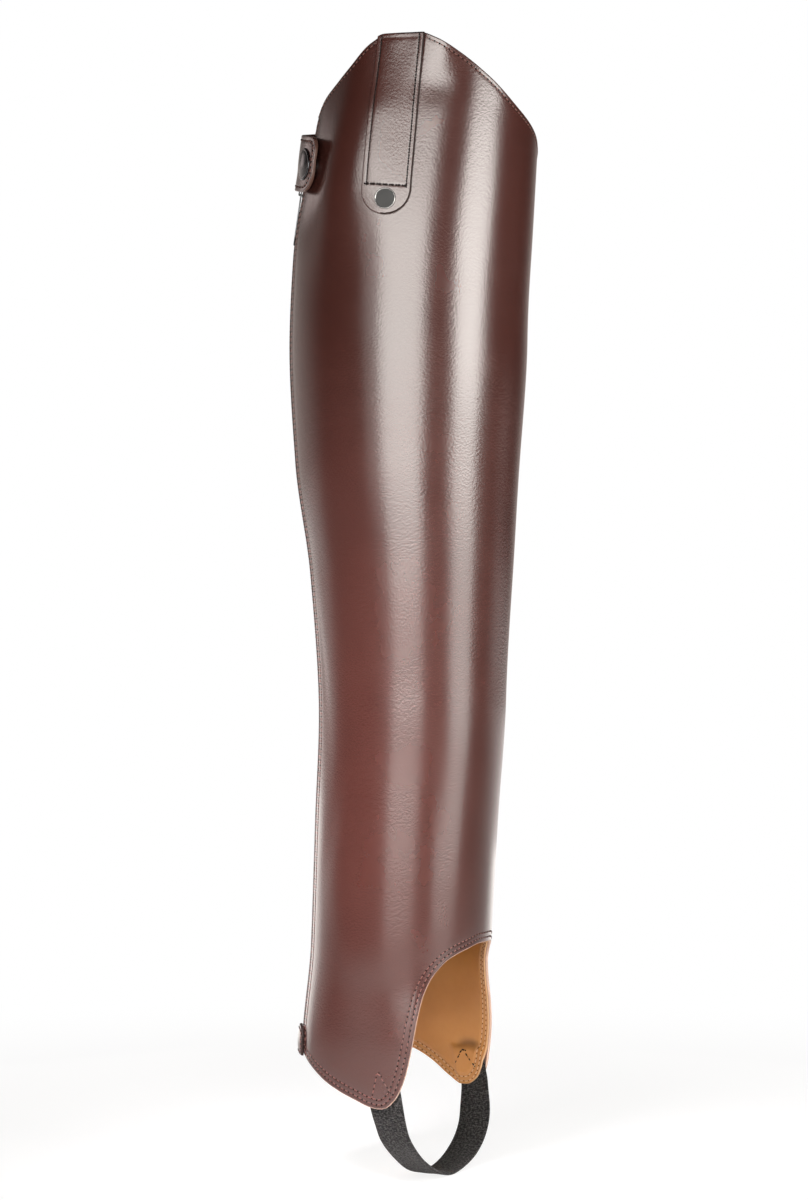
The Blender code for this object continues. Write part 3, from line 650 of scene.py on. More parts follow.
blackElastic = makeWoven("blackElastic", (0.001, 0.001, 0.001, 1), (0.052, 0.049, 0.047, 1),
                         0.0012, 0.0010, 0.55, 0.00045)
zipTapeCloth = makeWoven("zipTapeCloth", (0.012, 0.006, 0.005, 1), (0.050, 0.026, 0.022, 1),
                         0.0007, 0.0005, 0.0, 0.00012)


def makeMetal(name, colour, metallic, gloss, depth):
    material, tree, shader = startFinish(name)
    worn = useGroup(tree, handling, Place=placeOn(tree), Size=0.004)
    light = tuple(min(1.0, c * 1.7 + 0.01) for c in colour[:3]) + (1,)
    feed(tree, shader, {
        "Base Color": blendColours(tree, worn["Scuffs"], colour, light), "Metallic": metallic,
        "Roughness": calculate(tree, "MULTIPLY_ADD", worn["Haze"], 0.16, gloss - 0.08),
        "Normal": bumpFrom(tree, worn["Haze"], 0.4, depth)})
    return material


gunmetal = makeMetal("gunmetal", (0.075, 0.075, 0.080, 1), 0.95, 0.22, 0.00003)
greyRim = makeMetal("greyRim", (0.30, 0.295, 0.29, 1), 0.95, 0.20, 0.00003)
darkEnamel = makeMetal("darkEnamel", (0.012, 0.011, 0.011, 1), 0.0, 0.55, 0.00002)
zipTeethFinish = makeMetal("zipTeethFinish", (0.030, 0.026, 0.025, 1), 0.2, 0.35, 0.00002)
print("half chap: finishes ready")

# stitches: a thread at each step along a row, and for each needle hole a near-black bead of painted shade
stitching = {
    "pitch": 2.4,
    "length": 1.75,
    "thread": 0.50,
    "hole": 0.88,
    "holeLength": 0.95,        # shares of the hole's width
    "holeDepth": 0.6,
    "sunk": 0.06,
}
rowStep = 0.6                  # between the places along a row


def startRowTree(name, inputs):
    # a tree for shapes along rows, and the identifiers of its inputs
    tree = bpy.data.node_groups.new(name, "GeometryNodeTree")
    tree.is_modifier = True
    tree.interface.new_socket("Geometry", in_out="INPUT", socket_type="NodeSocketGeometry")
    sockets = {label: tree.interface.new_socket(label, in_out="INPUT", socket_type=kind).identifier
               for label, kind in inputs}
    tree.interface.new_socket("Geometry", in_out="OUTPUT", socket_type="NodeSocketGeometry")
    return tree, sockets, tree.nodes.new("NodeGroupInput").outputs, tree.nodes.new("NodeGroupOutput")


def repeated(tree, given, shape):
    # the shape at each step along the rows, lying along them and facing outwards
    rows = addNode(tree, "GeometryNodeMeshToCurve", Mesh=given["Geometry"])
    spaced = addNode(tree, "GeometryNodeResampleCurve", {"mode": "LENGTH"}, Curve=rows.outputs[0],
                     Length=given["Pitch"])
    outward = addNode(tree, "GeometryNodeInputNamedAttribute", {"data_type": "FLOAT_VECTOR"},
                      Name="outward").outputs[0]
    tangent = addNode(tree, "GeometryNodeInputTangent").outputs[0]
    lying = addNode(tree, "FunctionNodeAlignRotationToVector", {"axis": "X"}, Vector=tangent)
    facing = addNode(tree, "FunctionNodeAlignRotationToVector", {"axis": "Z", "pivot_axis": "X"},
                     Rotation=lying.outputs[0], Vector=outward)
    placed = addNode(tree, "GeometryNodeInstanceOnPoints", Points=spaced.outputs[0], Instance=shape,
                     Rotation=facing.outputs[0])
    return addNode(tree, "GeometryNodeRealizeInstances", Geometry=placed.outputs[0]).outputs[0]


def alongRows(name, rows, tree, sockets, settings):
    # rows: lists of places and outward directions, in millimetres, along each line
    points, edges, facing = [], [], []
    for places, outward in rows:
        start = len(points)
        points += (np.asarray(places) * mm).tolist()
        facing += np.asarray(outward).tolist()
        edges += [(start + k, start + k + 1) for k in range(len(places) - 1)]
    mesh = bpy.data.meshes.new(name)
    mesh.from_pydata(points, edges, [])
    layer = mesh.attributes.new("outward", "FLOAT_VECTOR", "POINT")
    layer.data.foreach_set("vector", np.asarray(facing, np.float32).ravel())
    made = bpy.data.objects.new(name, mesh)
    bpy.context.collection.objects.link(made)
    rule = made.modifiers.new("along", "NODES")
    rule.node_group = tree
    for label, value in settings.items():
        rule[sockets[label]] = value
    return applied(made)


def makeStitchTree():
    tree, sockets, given, result = startRowTree("stitchRow", [
        ("Pitch", floatIn), ("Length", floatIn), ("Thread", floatIn), ("Hole", floatIn),
        ("Finish", "NodeSocketMaterial"), ("Hole Shade Finish", "NodeSocketMaterial")])

    def bead(rings, finish, along, length, width, depth):
        ball = addNode(tree, "GeometryNodeMeshUVSphere", Segments=8, Rings=rings, Radius=0.5)
        size = addNode(tree, "ShaderNodeCombineXYZ", X=length, Y=width, Z=depth)
        aside = addNode(tree, "ShaderNodeCombineXYZ", X=along)
        shaped = addNode(tree, "GeometryNodeTransform", Geometry=ball.outputs["Mesh"],
                         Translation=aside.outputs[0], Scale=size.outputs[0])
        return addNode(tree, "GeometryNodeSetMaterial", Geometry=shaped.outputs[0],
                       Material=given[finish]).outputs[0]

    hole = given["Hole"]
    sewn = bead(6, "Finish", 0.0, given["Length"], given["Thread"], given["Thread"])
    # a near-black bead of painted shade stands for the needle hole, half a pitch along
    pierced = bead(4, "Hole Shade Finish", calculate(tree, "MULTIPLY", given["Pitch"], 0.5),
                   calculate(tree, "MULTIPLY", hole, stitching["holeLength"]), hole,
                   calculate(tree, "MULTIPLY", hole, stitching["holeDepth"]))
    stitch = addNode(tree, "GeometryNodeJoinGeometry")
    for part in (sewn, pierced):
        tree.links.new(part, stitch.inputs[0])
    soft = addNode(tree, "GeometryNodeSetShadeSmooth", Geometry=repeated(tree, given, stitch.outputs[0]))
    tree.links.new(soft.outputs[0], result.inputs[0])
    return tree, sockets


stitchTree, stitchSockets = makeStitchTree()


def sewRows(name, rows, finish, thread=stitching["thread"], pitch=stitching["pitch"],
            hole=stitching["hole"]):
    sunk = [(np.asarray(places) - np.asarray(outward) * stitching["sunk"], outward)
            for places, outward in rows]
    length = stitching["length"] * pitch / stitching["pitch"]
    return belongs(alongRows(name, sunk, stitchTree, stitchSockets, {
        "Pitch": pitch * mm, "Length": length * mm, "Thread": thread * mm, "Hole": hole * mm,
        "Finish": finish, "Hole Shade Finish": needleHoleShade}))


def legRow(angles, heights, out=0.0, inward=False):
    outward = outwardAt(angles, heights)
    return onLeg(angles, heights, out), -outward if inward else outward


def hemRow(inset, first, last):
    lengths = np.arange(hemLengthAt(first), hemLengthAt(last), rowStep)
    return legRow(*hemAt(lengths, inset))


def topRow(inset, first, last):
    lengths = np.arange(topLengthAt(first), topLengthAt(last), rowStep)
    angles, heights = topAt(lengths, inset)
    return legRow(angles, heights, topFlare(angles, heights))


def straightRow(corners):
    # straight on the flattened leather between places given as angle and height
    angles, heights = [], []
    for (a0, h0), (a1, h1) in zip(corners, corners[1:]):
        count = max(3, int(math.hypot(math.radians(a1 - a0) * hemRadius, h1 - h0) / rowStep))
        share = np.linspace(0, 1, count)[:-1]
        angles += (a0 + (a1 - a0) * share).tolist()
        heights += (h0 + (h1 - h0) * share).tolist()
    angles.append(corners[-1][0])
    heights.append(corners[-1][1])
    return legRow(np.array(angles), np.array(heights))


# the leather panel
panel = {
    "thickness": 1.8,
    "skived": 1.25,            # and near the hem and the top edge
    "hemSeams": (2.0, 4.2),
    "topSeams": (1.8,),
    "zipSeams": (1.8, 5.4),
    "columns": 170,
    "rows": 96,
}
creases = [
    # angle, height, half width in mm, half length in mm, lean in degrees, depth in mm
    (128, -150, 5.0, 34, 8, -0.35),
    (112, -205, 6.0, 30, -12, -0.30),
    (96, -262, 7.0, 30, 20, 0.25),
    (40, -215, 6.0, 60, 4, -0.22),
    (64, -120, 9.0, 70, -3, 0.25),
    (20, -60, 8.0, 90, 2, -0.20),
    (86, 30, 10.0, 70, 3, 0.22),
    (30, 60, 7.0, 45, -6, -0.18),
    (-40, -150, 8.0, 80, 3, -0.25),
    (-110, -180, 7.0, 60, -6, 0.30),
    (-150, -60, 9.0, 90, 4, -0.30),
    (-95, -290, 7.0, 22, 18, -0.25),
]


def softFolds(angle, height):
    # shallow folds, listed one by one, in millimetres out
    total = 0.0
    for middle, level, half, reach, lean, depth in creases:
        across = np.radians(angle - middle) * meanRadius
        up = height - level
        turn = math.radians(lean)
        u = across * math.cos(turn) - up * math.sin(turn)
        v = across * math.sin(turn) + up * math.cos(turn)
        total = total + depth * np.exp(-(u / half) ** 2 - (v / reach) ** 2)
    return total


# distances from each edge at which the mesh has a row
hemInsets = [0, .05, .16, .32, .5, .9, 1.3, 1.6, 1.8, 2.0, 2.2, 2.4, 2.8, 3.2, 3.7, 4.0, 4.2, 4.4, 4.7, 5.2]
topInsets = [0, .05, .16, .32, .5, .9, 1.3, 1.6, 1.8, 2.0, 2.3, 2.8, 3.6]
zipInsets = [0, .05, .16, .32, .5, 1.0, 1.4, 1.6, 1.8, 2.0, 2.3, 3.0, 4.0, 4.8, 5.2, 5.4, 5.6, 6.0, 6.8]
farAway = 99.0                 # stands for a distance from an edge that isn't near


def leatherGrid(first, last, topInsets, hemInsets, sideInsets, columns, shares):
    # angles and heights over the leather, and how far each place is from the top, hem and sides
    side = np.array(sideInsets, float)
    low0, low1 = hemLengthAt(first), hemLengthAt(last)
    high0, high1 = topLengthAt(first), topLengthAt(last)
    share = np.linspace(0, 1, columns)[1:-1]
    lowSide, highSide = side[-1], side[-1] * topRadius / hemRadius
    low = np.concatenate([low0 + side, low0 + lowSide + (low1 - low0 - 2 * lowSide) * share,
                          low1 - side[::-1]])
    high = np.concatenate([high0 + side * topRadius / hemRadius,
                           high0 + highSide + (high1 - high0 - 2 * highSide) * share,
                           high1 - side[::-1] * topRadius / hemRadius])
    fromSide = np.concatenate([side, np.full(len(share), farAway), side[::-1]])
    parts = [topAt(high, inset) for inset in topInsets]
    upperAngle, upperHeight = parts[-1]
    lowerAngle, lowerHeight = hemAt(low, hemInsets[-1])
    for t in shares:
        parts.append((upperAngle + (lowerAngle - upperAngle) * t,
                      upperHeight + (lowerHeight - upperHeight) * t))
    parts += [hemAt(low, inset) for inset in reversed(hemInsets)]
    angle = np.array([p[0] for p in parts])
    height = np.array([p[1] for p in parts])
    count = len(parts)
    fromTop = np.concatenate([topInsets, np.full(count - len(topInsets), farAway)])
    fromHem = np.concatenate([np.full(count - len(hemInsets), farAway), hemInsets[::-1]])
    return (angle, height, fromTop[:, None] + 0 * angle, fromHem[:, None] + 0 * angle,
            fromSide[None, :] + 0 * angle)


flare = {
    "besideAngle": 58.0,       # beside the strip the leather draws in and its edge turns out
    "besideReach": 10.0,
    "turnFrom": 108.0,
    "turn": 0.0036,
    "hollow": 0.65,
    "hollowHeight": 110.0,
    "hollowReach": 7.0,
    "underAngle": 84.0,        # under the strip it only leans in
    "underReach": 13.0,
    "lean": 1.0,
    "leanFrom": 94.0,
    "leanTo": 126.0,
}


def topFlare(angle, height):
    beside = np.exp(-((angle - flare["besideAngle"]) / flare["besideReach"]) ** 2)
    under = np.exp(-((angle - flare["underAngle"]) / flare["underReach"]) ** 4)
    drawn = flare["hollow"] * np.exp(-((height - flare["hollowHeight"]) / flare["hollowReach"]) ** 2)
    turned = flare["turn"] * np.clip(height - flare["turnFrom"], 0, 30) ** 2 - drawn
    return turned * beside - flare["lean"] * smoothStep(height, flare["leanFrom"], flare["leanTo"]) * under


def flatMap(angle, height):
    return np.stack([np.radians(angle) * meanRadius * mm, height * mm], -1)


def makePanel():
    angle, height, fromTop, fromHem, fromZip = leatherGrid(
        innerZipEdge, outerZipEdge, topInsets, hemInsets, zipInsets, panel["columns"],
        np.linspace(0, 1, panel["rows"])[1:-1])
    nearest = np.minimum(np.minimum(fromTop, fromHem), fromZip)
    calm = smoothStep(nearest, 6.0, 30.0)
    folds = softFolds(angle, height) * calm + topFlare(angle, height)
    troughs = (seamTrough(fromTop, panel["topSeams"]) + seamTrough(fromHem, panel["hemSeams"])
               + seamTrough(fromZip, panel["zipSeams"]))
    edge = roundedEdge(nearest)
    face = onLeg(angle, height, folds - edge - troughs)
    back = onLeg(angle, height, folds - leatherDepth(fromTop, fromHem) + edge)
    rim = 1 - smoothStep(nearest, 0.15, 0.42)
    atHem = (fromHem <= np.minimum(fromTop, fromZip)).astype(float)
    return wallFrom("legLeather", face, back, oxbloodLeather, uv=flatMap(angle, height), values={
        "rawEdge": rim * atHem, "inkedEdgeAndShade": rim * (1 - atHem), "backFace": (0 * rim, 1 - rim)})


legLeather = belongs(makePanel(), ["leg_panel"])
print("half chap: leather panel made", len(legLeather.data.polygons))


def panelStitches():
    rows = [topRow(panel["topSeams"][0], innerZipEdge + 2, outerZipEdge - 2)]
    rows += [hemRow(inset, innerZipEdge + 2, outerZipEdge - 2) for inset in panel["hemSeams"]]
    heights = np.arange(-306, 99, 0.8)
    for inset in panel["zipSeams"]:
        turn = np.degrees(inset / legRadius(zipLine["angle"], heights))
        rows.append(legRow(outerZipEdge - turn, heights))
        rows.append(legRow(innerZipEdge + turn, heights))
    dart = [(75.6, -327.2), (72.4, -315.9), (65.6, -323.6)]
    rows.append(straightRow(dart))
    rows.append(straightRow([(-a, h) for a, h in dart]))
    return sewRows("legStitches", rows, oxbloodThread)


legStitches = panelStitches()

# the lining, and the places of the elastic's ends between it and the leather
lining = {
    "thickness": 0.85,
    "gap": 0.05,
    "shy": 0.12,               # how far its edge stays behind the leather's
    "seams": (1.3, 3.4),
    "firstAngle": zipLine["angle"] + 19.6 - 360.0,
    "lastAngle": zipLine["angle"] - 19.6,
}
strapEnds = {
    # where each end of the elastic lies between leather and lining: angle at the hem and at its top
    "inner": (-63.6, -68.5),
    "outer": (67.3, 71.5),
    "hem": -331.5,
    "top": -315.0,
    "halfWidth": 7.6,
    "room": 1.45,
    "radius": 41.0,            # of the leg there
}


def strapAngle(side, height):
    low, high = strapEnds[side]
    tall = strapEnds["top"] - strapEnds["hem"]
    share = np.clip((np.asarray(height, float) - strapEnds["hem"]) / tall, -0.4, 1)
    return low + (high - low) * share


def strapRoom(angle, height):
    # how far the lining stands off the leather over the ends of the elastic
    total = 0.0
    for side in ("inner", "outer"):
        aside = np.abs(np.radians(angle - strapAngle(side, height)) * strapEnds["radius"])
        over = 1 - smoothStep(aside, strapEnds["halfWidth"] - 0.8, strapEnds["halfWidth"] + 1.6)
        below = 1 - smoothStep(height, strapEnds["top"] - 0.6, strapEnds["top"] + 1.2)
        total = total + strapEnds["room"] * over * below
    return total


def strapCrease(angle, height):
    # the crease in the lining over the top of each end; the lining is drawn in there and darkened with
    # painted shade
    total = 0.0
    for side in ("inner", "outer"):
        aside = np.radians(angle - strapAngle(side, height)) * strapEnds["radius"]
        level = strapEnds["top"] + 2.0 - 0.05 * aside ** 2
        total = total + np.exp(-((height - level) / 2.1) ** 2 - (aside / 5.2) ** 4)
    return total


def makeLining():
    shy = lining["shy"]
    insets = [shy + i for i in (0, .05, .15, .3, .6, 1.0, 1.3, 1.7, 2.3, 2.8, 3.1, 3.4, 4.2)]
    angle, height, fromTop, fromHem, fromSide = leatherGrid(
        lining["firstAngle"], lining["lastAngle"], insets, insets, [0, .05, .15, .4, 1.0], 200,
        np.concatenate([np.linspace(0, 0.92, 60)[1:], np.linspace(0.92, 1, 46)[1:-1]]))
    fromTop, fromHem = fromTop - shy, fromHem - shy        # measured from the lining's own edge
    nearest = np.minimum(np.minimum(fromTop, fromHem), fromSide)
    crease = strapCrease(angle, height)
    out = -leatherDepth(fromTop, fromHem) - lining["gap"] - strapRoom(angle, height)
    troughs = sum(seamTrough(away, lining["seams"], 0.14, 0.35) for away in (fromHem, fromTop))
    edge = roundedEdge(nearest, 0.3)
    face = onLeg(angle, height, out - edge)
    back = onLeg(angle, height, out - lining["thickness"] + edge + troughs + 0.5 * crease)
    rim = 1 - smoothStep(nearest, 0.1, 0.3)
    # the creases over the elastic's ends are darkened with painted shade, through the inked-edge layer
    return wallFrom("legLining", face, back, tanLeather, uv=flatMap(angle, height),
                    values={"rawEdge": rim, "inkedEdgeAndShade": 0.65 * crease, "backFace": 0 * rim})


legLining = belongs(makeLining(), ["lining"])


def liningStitches():
    rows = []
    for seam in lining["seams"]:
        lengths = np.arange(hemLengthAt(-150), hemLengthAt(118), rowStep)
        angles, heights = hemAt(lengths, seam + lining["shy"])
        depth = leatherDepth(farAway, seam + lining["shy"]) + lining["gap"] + lining["thickness"]
        rows.append(legRow(angles, heights, -depth - strapRoom(angles, heights), True))
    return sewRows("liningStitches", rows, tanThread, 0.62, hole=0.55)


def liningDart():
    # the dark V that holds the inner end of the elastic
    dart = np.array([(-75.5, -322.0), (-71.0, -315.7), (-63.4, -322.5)])
    angles, heights = [], []
    for (a0, h0), (a1, h1) in zip(dart, dart[1:]):
        share = np.linspace(0, 1, 14)
        angles += (a0 + (a1 - a0) * share).tolist()
        heights += (h0 + (h1 - h0) * share).tolist()
    angles, heights = np.array(angles), np.array(heights)
    fromHem = heights - hemEdge(angles)
    depth = leatherDepth(farAway, fromHem) + lining["gap"] + lining["thickness"]
    row = legRow(angles, heights, -depth - strapRoom(angles, heights), True)
    return sewRows("liningDart", [row], darkThread, 0.8, hole=0.8)


legLiningStitches = liningStitches()
dartThread = liningDart()
print("half chap: lining made")


# patches sewn on: strip, snap tab and zip guard
def sidesOf(half, insets, middle):
    # places across a patch, close together near its sides
    left = [-half + i for i in insets if i < half * 0.92]
    inner = left[-1]
    return np.array(left + np.linspace(inner, -inner, middle)[1:-1].tolist() + [-x for x in reversed(left)])


def makePatch(name, along, across, place, thickness, fromEdge, seams, finish, crossSeam=None,
              paintWidth=None):
    # along: rows; across(row) gives places over its width; place(row, side, out) puts them in space
    # paintWidth(sides) is how far in from its edge the dark paint reaches; without it the edge is raw
    insetFace, insetBack, distances, flats, paints = [], [], [], [], []
    for row in along:
        sides = across(row)
        distance = fromEdge(row, sides)
        edge = roundedEdge(distance, 0.4)
        trough = seamTrough(distance, seams, 0.10)
        if crossSeam is not None:
            trough = seamTrough(distance, seams, 0.10 if row > crossSeam(0.0) else 0.0)
            crossing = seamTrough(abs(row - crossSeam(sides)), (0,), 0.10)
            trough = np.maximum(trough, crossing * (distance > seams[0]))
        insetFace.append(place(row, sides, thickness - edge - trough))
        insetBack.append(place(row, sides, edge))
        distances.append(distance)
        flats.append(np.stack([sides * mm, np.full_like(sides, row * mm)], -1))
        paints.append(0 * sides if paintWidth is None else paintWidth(sides))
    distances, paints = np.array(distances), np.array(paints)
    none = 0 * distances
    raw = none if paintWidth else 0.12 * (1 - smoothStep(distances, 0.05, 0.3))
    values = {"rawEdge": raw, "inkedEdgeAndShade": none, "backFace": none}
    made = wallFrom(name, np.array(insetFace), np.array(insetBack), finish, values=values, uv=np.array(flats))
    made.data.materials.append(edgePaint)
    painted = np.tile((distances < paints).ravel(), 2)
    for face in made.data.polygons:
        face.material_index = int(painted[list(face.vertices)].all())
    return made


patchInsets = [0, .05, .15, .3, .5, .65, 1.0, 1.4, 1.7, 1.9, 2.1, 2.3, 2.5, 2.9, 3.5]

strip = {
    "width": 21.0,
    "thickness": 1.6,
    "gap": 0.15,
    "topAngle": 81.0,
    "endAngle": 75.4,
    "endHeight": 54.0,
    "seam": 2.1,
    "crossSeam": 66.6,         # height of the straight row over the badge
    "crossLean": 0.08,         # and its slant
    # along the front edge the dark reaches further: real edge paint, widened with painted shade for the
    # strip's wall and the shadow beside it
    "frontPaintAndShade": 0.66,        # how far in the dark paint reaches along the front edge
    "backPaint": 0.06,
}
stripHalf = strip["width"] / 2
stripTop = float(topEdge(strip["topAngle"]))


def stripPlace(height, side, out):
    lean = (height - strip["endHeight"]) / (stripTop - strip["endHeight"])
    middle = strip["endAngle"] + (strip["topAngle"] - strip["endAngle"]) * lean
    angle = middle + np.degrees(side / legRadius(middle, height))
    nearTop = smoothStep(height, stripTop - 14, stripTop)
    limit = height + (topEdge(angle) - stripTop) * nearTop
    return onLeg(angle, limit, strip["gap"] + out + topFlare(angle, limit))


def stripHalfWidth(height):
    drop = max(0.0, strip["endHeight"] + stripHalf - height)
    return math.sqrt(max(0.0, stripHalf ** 2 - drop ** 2))


def stripFromEdge(height, side):
    drop = strip["endHeight"] + stripHalf - height
    side = np.abs(side)
    if drop > 0:
        return stripHalf - np.hypot(side, drop)
    return np.minimum(stripHalf - side, stripTop - height)


def roundEndRows(radius, insets):
    # heights up the round end, close together at its tip
    turns = np.linspace(0.3, math.pi / 2, 16)
    return sorted({*insets, *(radius * (1 - math.cos(t)) for t in turns)})


def crossLine(sides):
    return strip["crossSeam"] + strip["crossLean"] * sides


# the dark edge band: on the front side real edge paint widened with painted shade, on the back side narrow
def stripPaintAndShade(sides):
    return np.where(sides < 0.2 * stripHalf, strip["frontPaintAndShade"], strip["backPaint"])


tipInsets = [0, .1, .3, .5, .65, 1.0, 1.5, 1.9, 2.1, 2.4, 3.0]
tipRows = [strip["endHeight"] + 0.02 + h for h in roundEndRows(stripHalf, tipInsets)]
bodyRows = np.linspace(tipRows[-1] + 1.0, stripTop - 3.6, 60).tolist()
bodyRows = sorted(bodyRows + [strip["crossSeam"] + step for step in np.arange(-1.5, 1.6, 0.3)])
endRows = [stripTop - i for i in reversed([0, .05, .15, .3, .5, .65, 1.0, 1.4, 1.9, 2.4, 3.0])]


def stripSides(height):
    half = max(stripHalfWidth(height), 0.3)
    scale = min(1.0, half / 6.0)
    return sidesOf(half, [i * scale for i in patchInsets], 14)


pullStrip = makePatch(
    "pullStrip", tipRows + bodyRows + endRows, stripSides, stripPlace, strip["thickness"], stripFromEdge,
    (strip["seam"],), oxbloodLeather, crossLine, stripPaintAndShade)
belongs(pullStrip, ["pull_strip"])


def rowOnPatch(place, rows, sides, out):
    rows, sides = np.asarray(rows, float), np.asarray(sides, float)
    here = np.array([place(r, np.array([s]), out)[0] for r, s in zip(rows, sides)])
    above = np.array([place(r, np.array([s]), out + 0.5)[0] for r, s in zip(rows, sides)])
    outward = above - here
    return here, outward / np.linalg.norm(outward, axis=1, keepdims=True)


def stripStitches():
    # a row down each side, as far as the straight row over the badge
    rows = []
    for side in (stripHalf - strip["seam"], strip["seam"] - stripHalf):
        down = np.arange(stripTop - 1.2, crossLine(side), -0.7)
        rows.append(rowOnPatch(stripPlace, down, np.full(len(down), side), strip["thickness"]))
    return sewRows("stripStitches", rows, darkThread, 0.72)


def crossStitches():
    reach = stripHalf - strip["seam"] - 0.4
    across = np.linspace(-reach, reach, 24)
    row = rowOnPatch(stripPlace, crossLine(across), across, strip["thickness"])
    return sewRows("crossStitches", [row], darkThread, 1.1, hole=1.0)


stripThread = stripStitches()
crossThread = crossStitches()

badge = {
    "angle": 76.2,
    "height": 60.7,
    "radius": 4.6,
    "sides": 64,
    "curve": 100.0,            # the curve that it is bent round
}
badgeProfile = [
    # radius share, height over the strip in mm, and 1 where it is enamel
    (0.0, 0.62, 1), (0.45, 0.63, 1), (0.86, 0.60, 1), (0.88, 0.60, 1), (0.895, 0.78, 0), (0.915, 0.86, 0),
    (0.94, 0.86, 0), (0.965, 0.78, 0), (0.985, 0.64, 0), (1.0, 0.42, 0), (1.0, 0.0, 0), (0.0, 0.0, 0),
]


def makeTurned(name, profile, place, finishes, sides):
    # a round piece from its profile; place(x, y, out) puts shares of its radius in space
    points, rings, faces, groups = [], [], [], []
    for radius, out, group in profile:
        if radius == 0:
            rings.append([len(points)])
            points.append(place(0.0, 0.0, out))
            continue
        turns = 2 * np.pi * np.arange(sides) / sides
        rings.append(list(range(len(points), len(points) + sides)))
        points += [place(radius * math.cos(t), radius * math.sin(t), out) for t in turns]
    for (upper, lower), row in zip(zip(rings, rings[1:]), profile[1:]):
        for k in range(sides):
            n = (k + 1) % sides
            if len(upper) == 1:
                faces.append((upper[0], lower[k], lower[n]))
            elif len(lower) == 1:
                faces.append((upper[k], lower[0], upper[n]))
            else:
                faces.append((upper[k], lower[k], lower[n], upper[n]))
            groups.append(row[2])
    made = addMesh(name, np.array(points), faces)
    for finish in finishes:
        made.data.materials.append(finish)
    made.data.polygons.foreach_set("material_index", groups)
    return faceOutwards(made)


badgeMiddle = onLeg(badge["angle"], badge["height"])
badgeOut = outwardAt(badge["angle"], badge["height"])
badgeUp = np.array([0.0, 0.0, 1.0]) - badgeOut * badgeOut[2]
badgeUp /= np.linalg.norm(badgeUp)
badgeSide = np.cross(badgeUp, badgeOut)
badgeBase = strip["gap"] + strip["thickness"] - 0.1


def badgePlace(x, y, out):
    radius = badge["radius"]
    sag = -(x * radius) ** 2 / (2 * badge["curve"])
    return badgeMiddle + badgeSide * x * radius + badgeUp * y * radius + badgeOut * (badgeBase + out + sag)


roundBadge = makeTurned("roundBadge", badgeProfile, badgePlace, [greyRim, darkEnamel], badge["sides"])
belongs(roundBadge, ["badge"])
print("half chap: strip and badge made")

tab = {
    "radius": 54.0,            # the curve its length is bent round
    "width": 24.4,
    "height": 82.5,
    "slope": 0.17,
    "thickness": 1.7,
    "upperCorner": 6.0,
    "lowerCorner": 10.0,
    "root": -30.0,
    "end": 27.3,
    "seam": 2.1,
}
tabShare = curveThrough([(-30, 0.0), (-16, 0.0), (-6, 1.0), (17, 1.0), (27.3, 0.86)], 1)
tabStand = curveThrough([(-12.5, 2.15), (-5, 2.55), (0, 3.2), (5, 3.7), (12.5, 4.15)], 1)
tabHalf = tab["width"] / 2


def tabPlace(along, across, out):
    angle = zipLine["angle"] - np.degrees(along / tab["radius"])
    stand = 0.2 + (tabStand(across) - 0.2) * tabShare(along)
    return onLeg(angle, tab["height"] - along * tab["slope"] + across, stand + out)


def tabReach(along, corner):
    into = max(0.0, along - (tab["end"] - corner))
    return tabHalf - corner + math.sqrt(max(0.0, corner ** 2 - into ** 2))


def tabSides(along):
    low, high = -tabReach(along, tab["lowerCorner"]), tabReach(along, tab["upperCorner"])
    middle, half = (low + high) / 2, (high - low) / 2
    scale = min(1.0, half / 6.0)
    return sidesOf(half, [i * scale for i in patchInsets], 12) + middle


def tabFromEdge(along, across):
    best = np.minimum(np.minimum(across + tabHalf, tabHalf - across),
                      np.minimum(along - tab["root"], tab["end"] - along))
    for corner, sign in ((tab["lowerCorner"], -1), (tab["upperCorner"], 1)):
        u = along - (tab["end"] - corner)
        v = across * sign - (tabHalf - corner)
        best = np.where((u > 0) & (v > 0), np.minimum(best, corner - np.hypot(u, v)), best)
    return best


tabInsets = [0.02, .08, .2, .35, .5, .65, 1.0, 1.4, 1.7, 1.9, 2.1, 2.3, 2.6, 3.2, 4, 5, 6.2, 7.6, 9.2]
tabEnd = [tab["end"] - i for i in reversed(tabInsets)]
tabRoot = [tab["root"] + i for i in [0, .05, .15, .3, .5, .9, 1.4, 1.9, 2.4, 3.0]]
tabRows = tabRoot + np.linspace(tab["root"] + 4, tab["end"] - 10.4, 48).tolist() + tabEnd
snapTab = makePatch("snapTab", tabRows, tabSides, tabPlace, tab["thickness"], tabFromEdge,
                    (tab["seam"],), oxbloodLeather)
belongs(snapTab, ["snap_tab"])


def tabStitches():
    seam, end, step = tab["seam"], tab["end"], 0.7
    start = tab["root"] + seam
    points = [(a, -tabHalf + seam) for a in np.arange(start, end - tab["lowerCorner"], step)]
    for corner, sign, turns in ((tab["lowerCorner"], -1, np.linspace(0, math.pi / 2, 14)),
                                (tab["upperCorner"], 1, np.linspace(math.pi / 2, 0, 10))):
        inner, middle = corner - seam, tabHalf - corner
        points += [(end - corner + inner * math.sin(t), sign * (middle + inner * math.cos(t)))
                   for t in turns]
    points += [(a, tabHalf - seam) for a in np.arange(end - tab["upperCorner"], start, -step)]
    points.append(points[0])
    dense = []
    for (a0, c0), (a1, c1) in zip(points, points[1:]):
        count = max(1, int(math.hypot(a1 - a0, c1 - c0) / step))
        dense += [(a0 + (a1 - a0) * k / count, c0 + (c1 - c0) * k / count) for k in range(count)]
    along, across = np.array(dense).T
    return sewRows("tabStitches", [rowOnPatch(tabPlace, along, across, tab["thickness"])], oxbloodThread,
                   0.60)


tabThread = tabStitches()

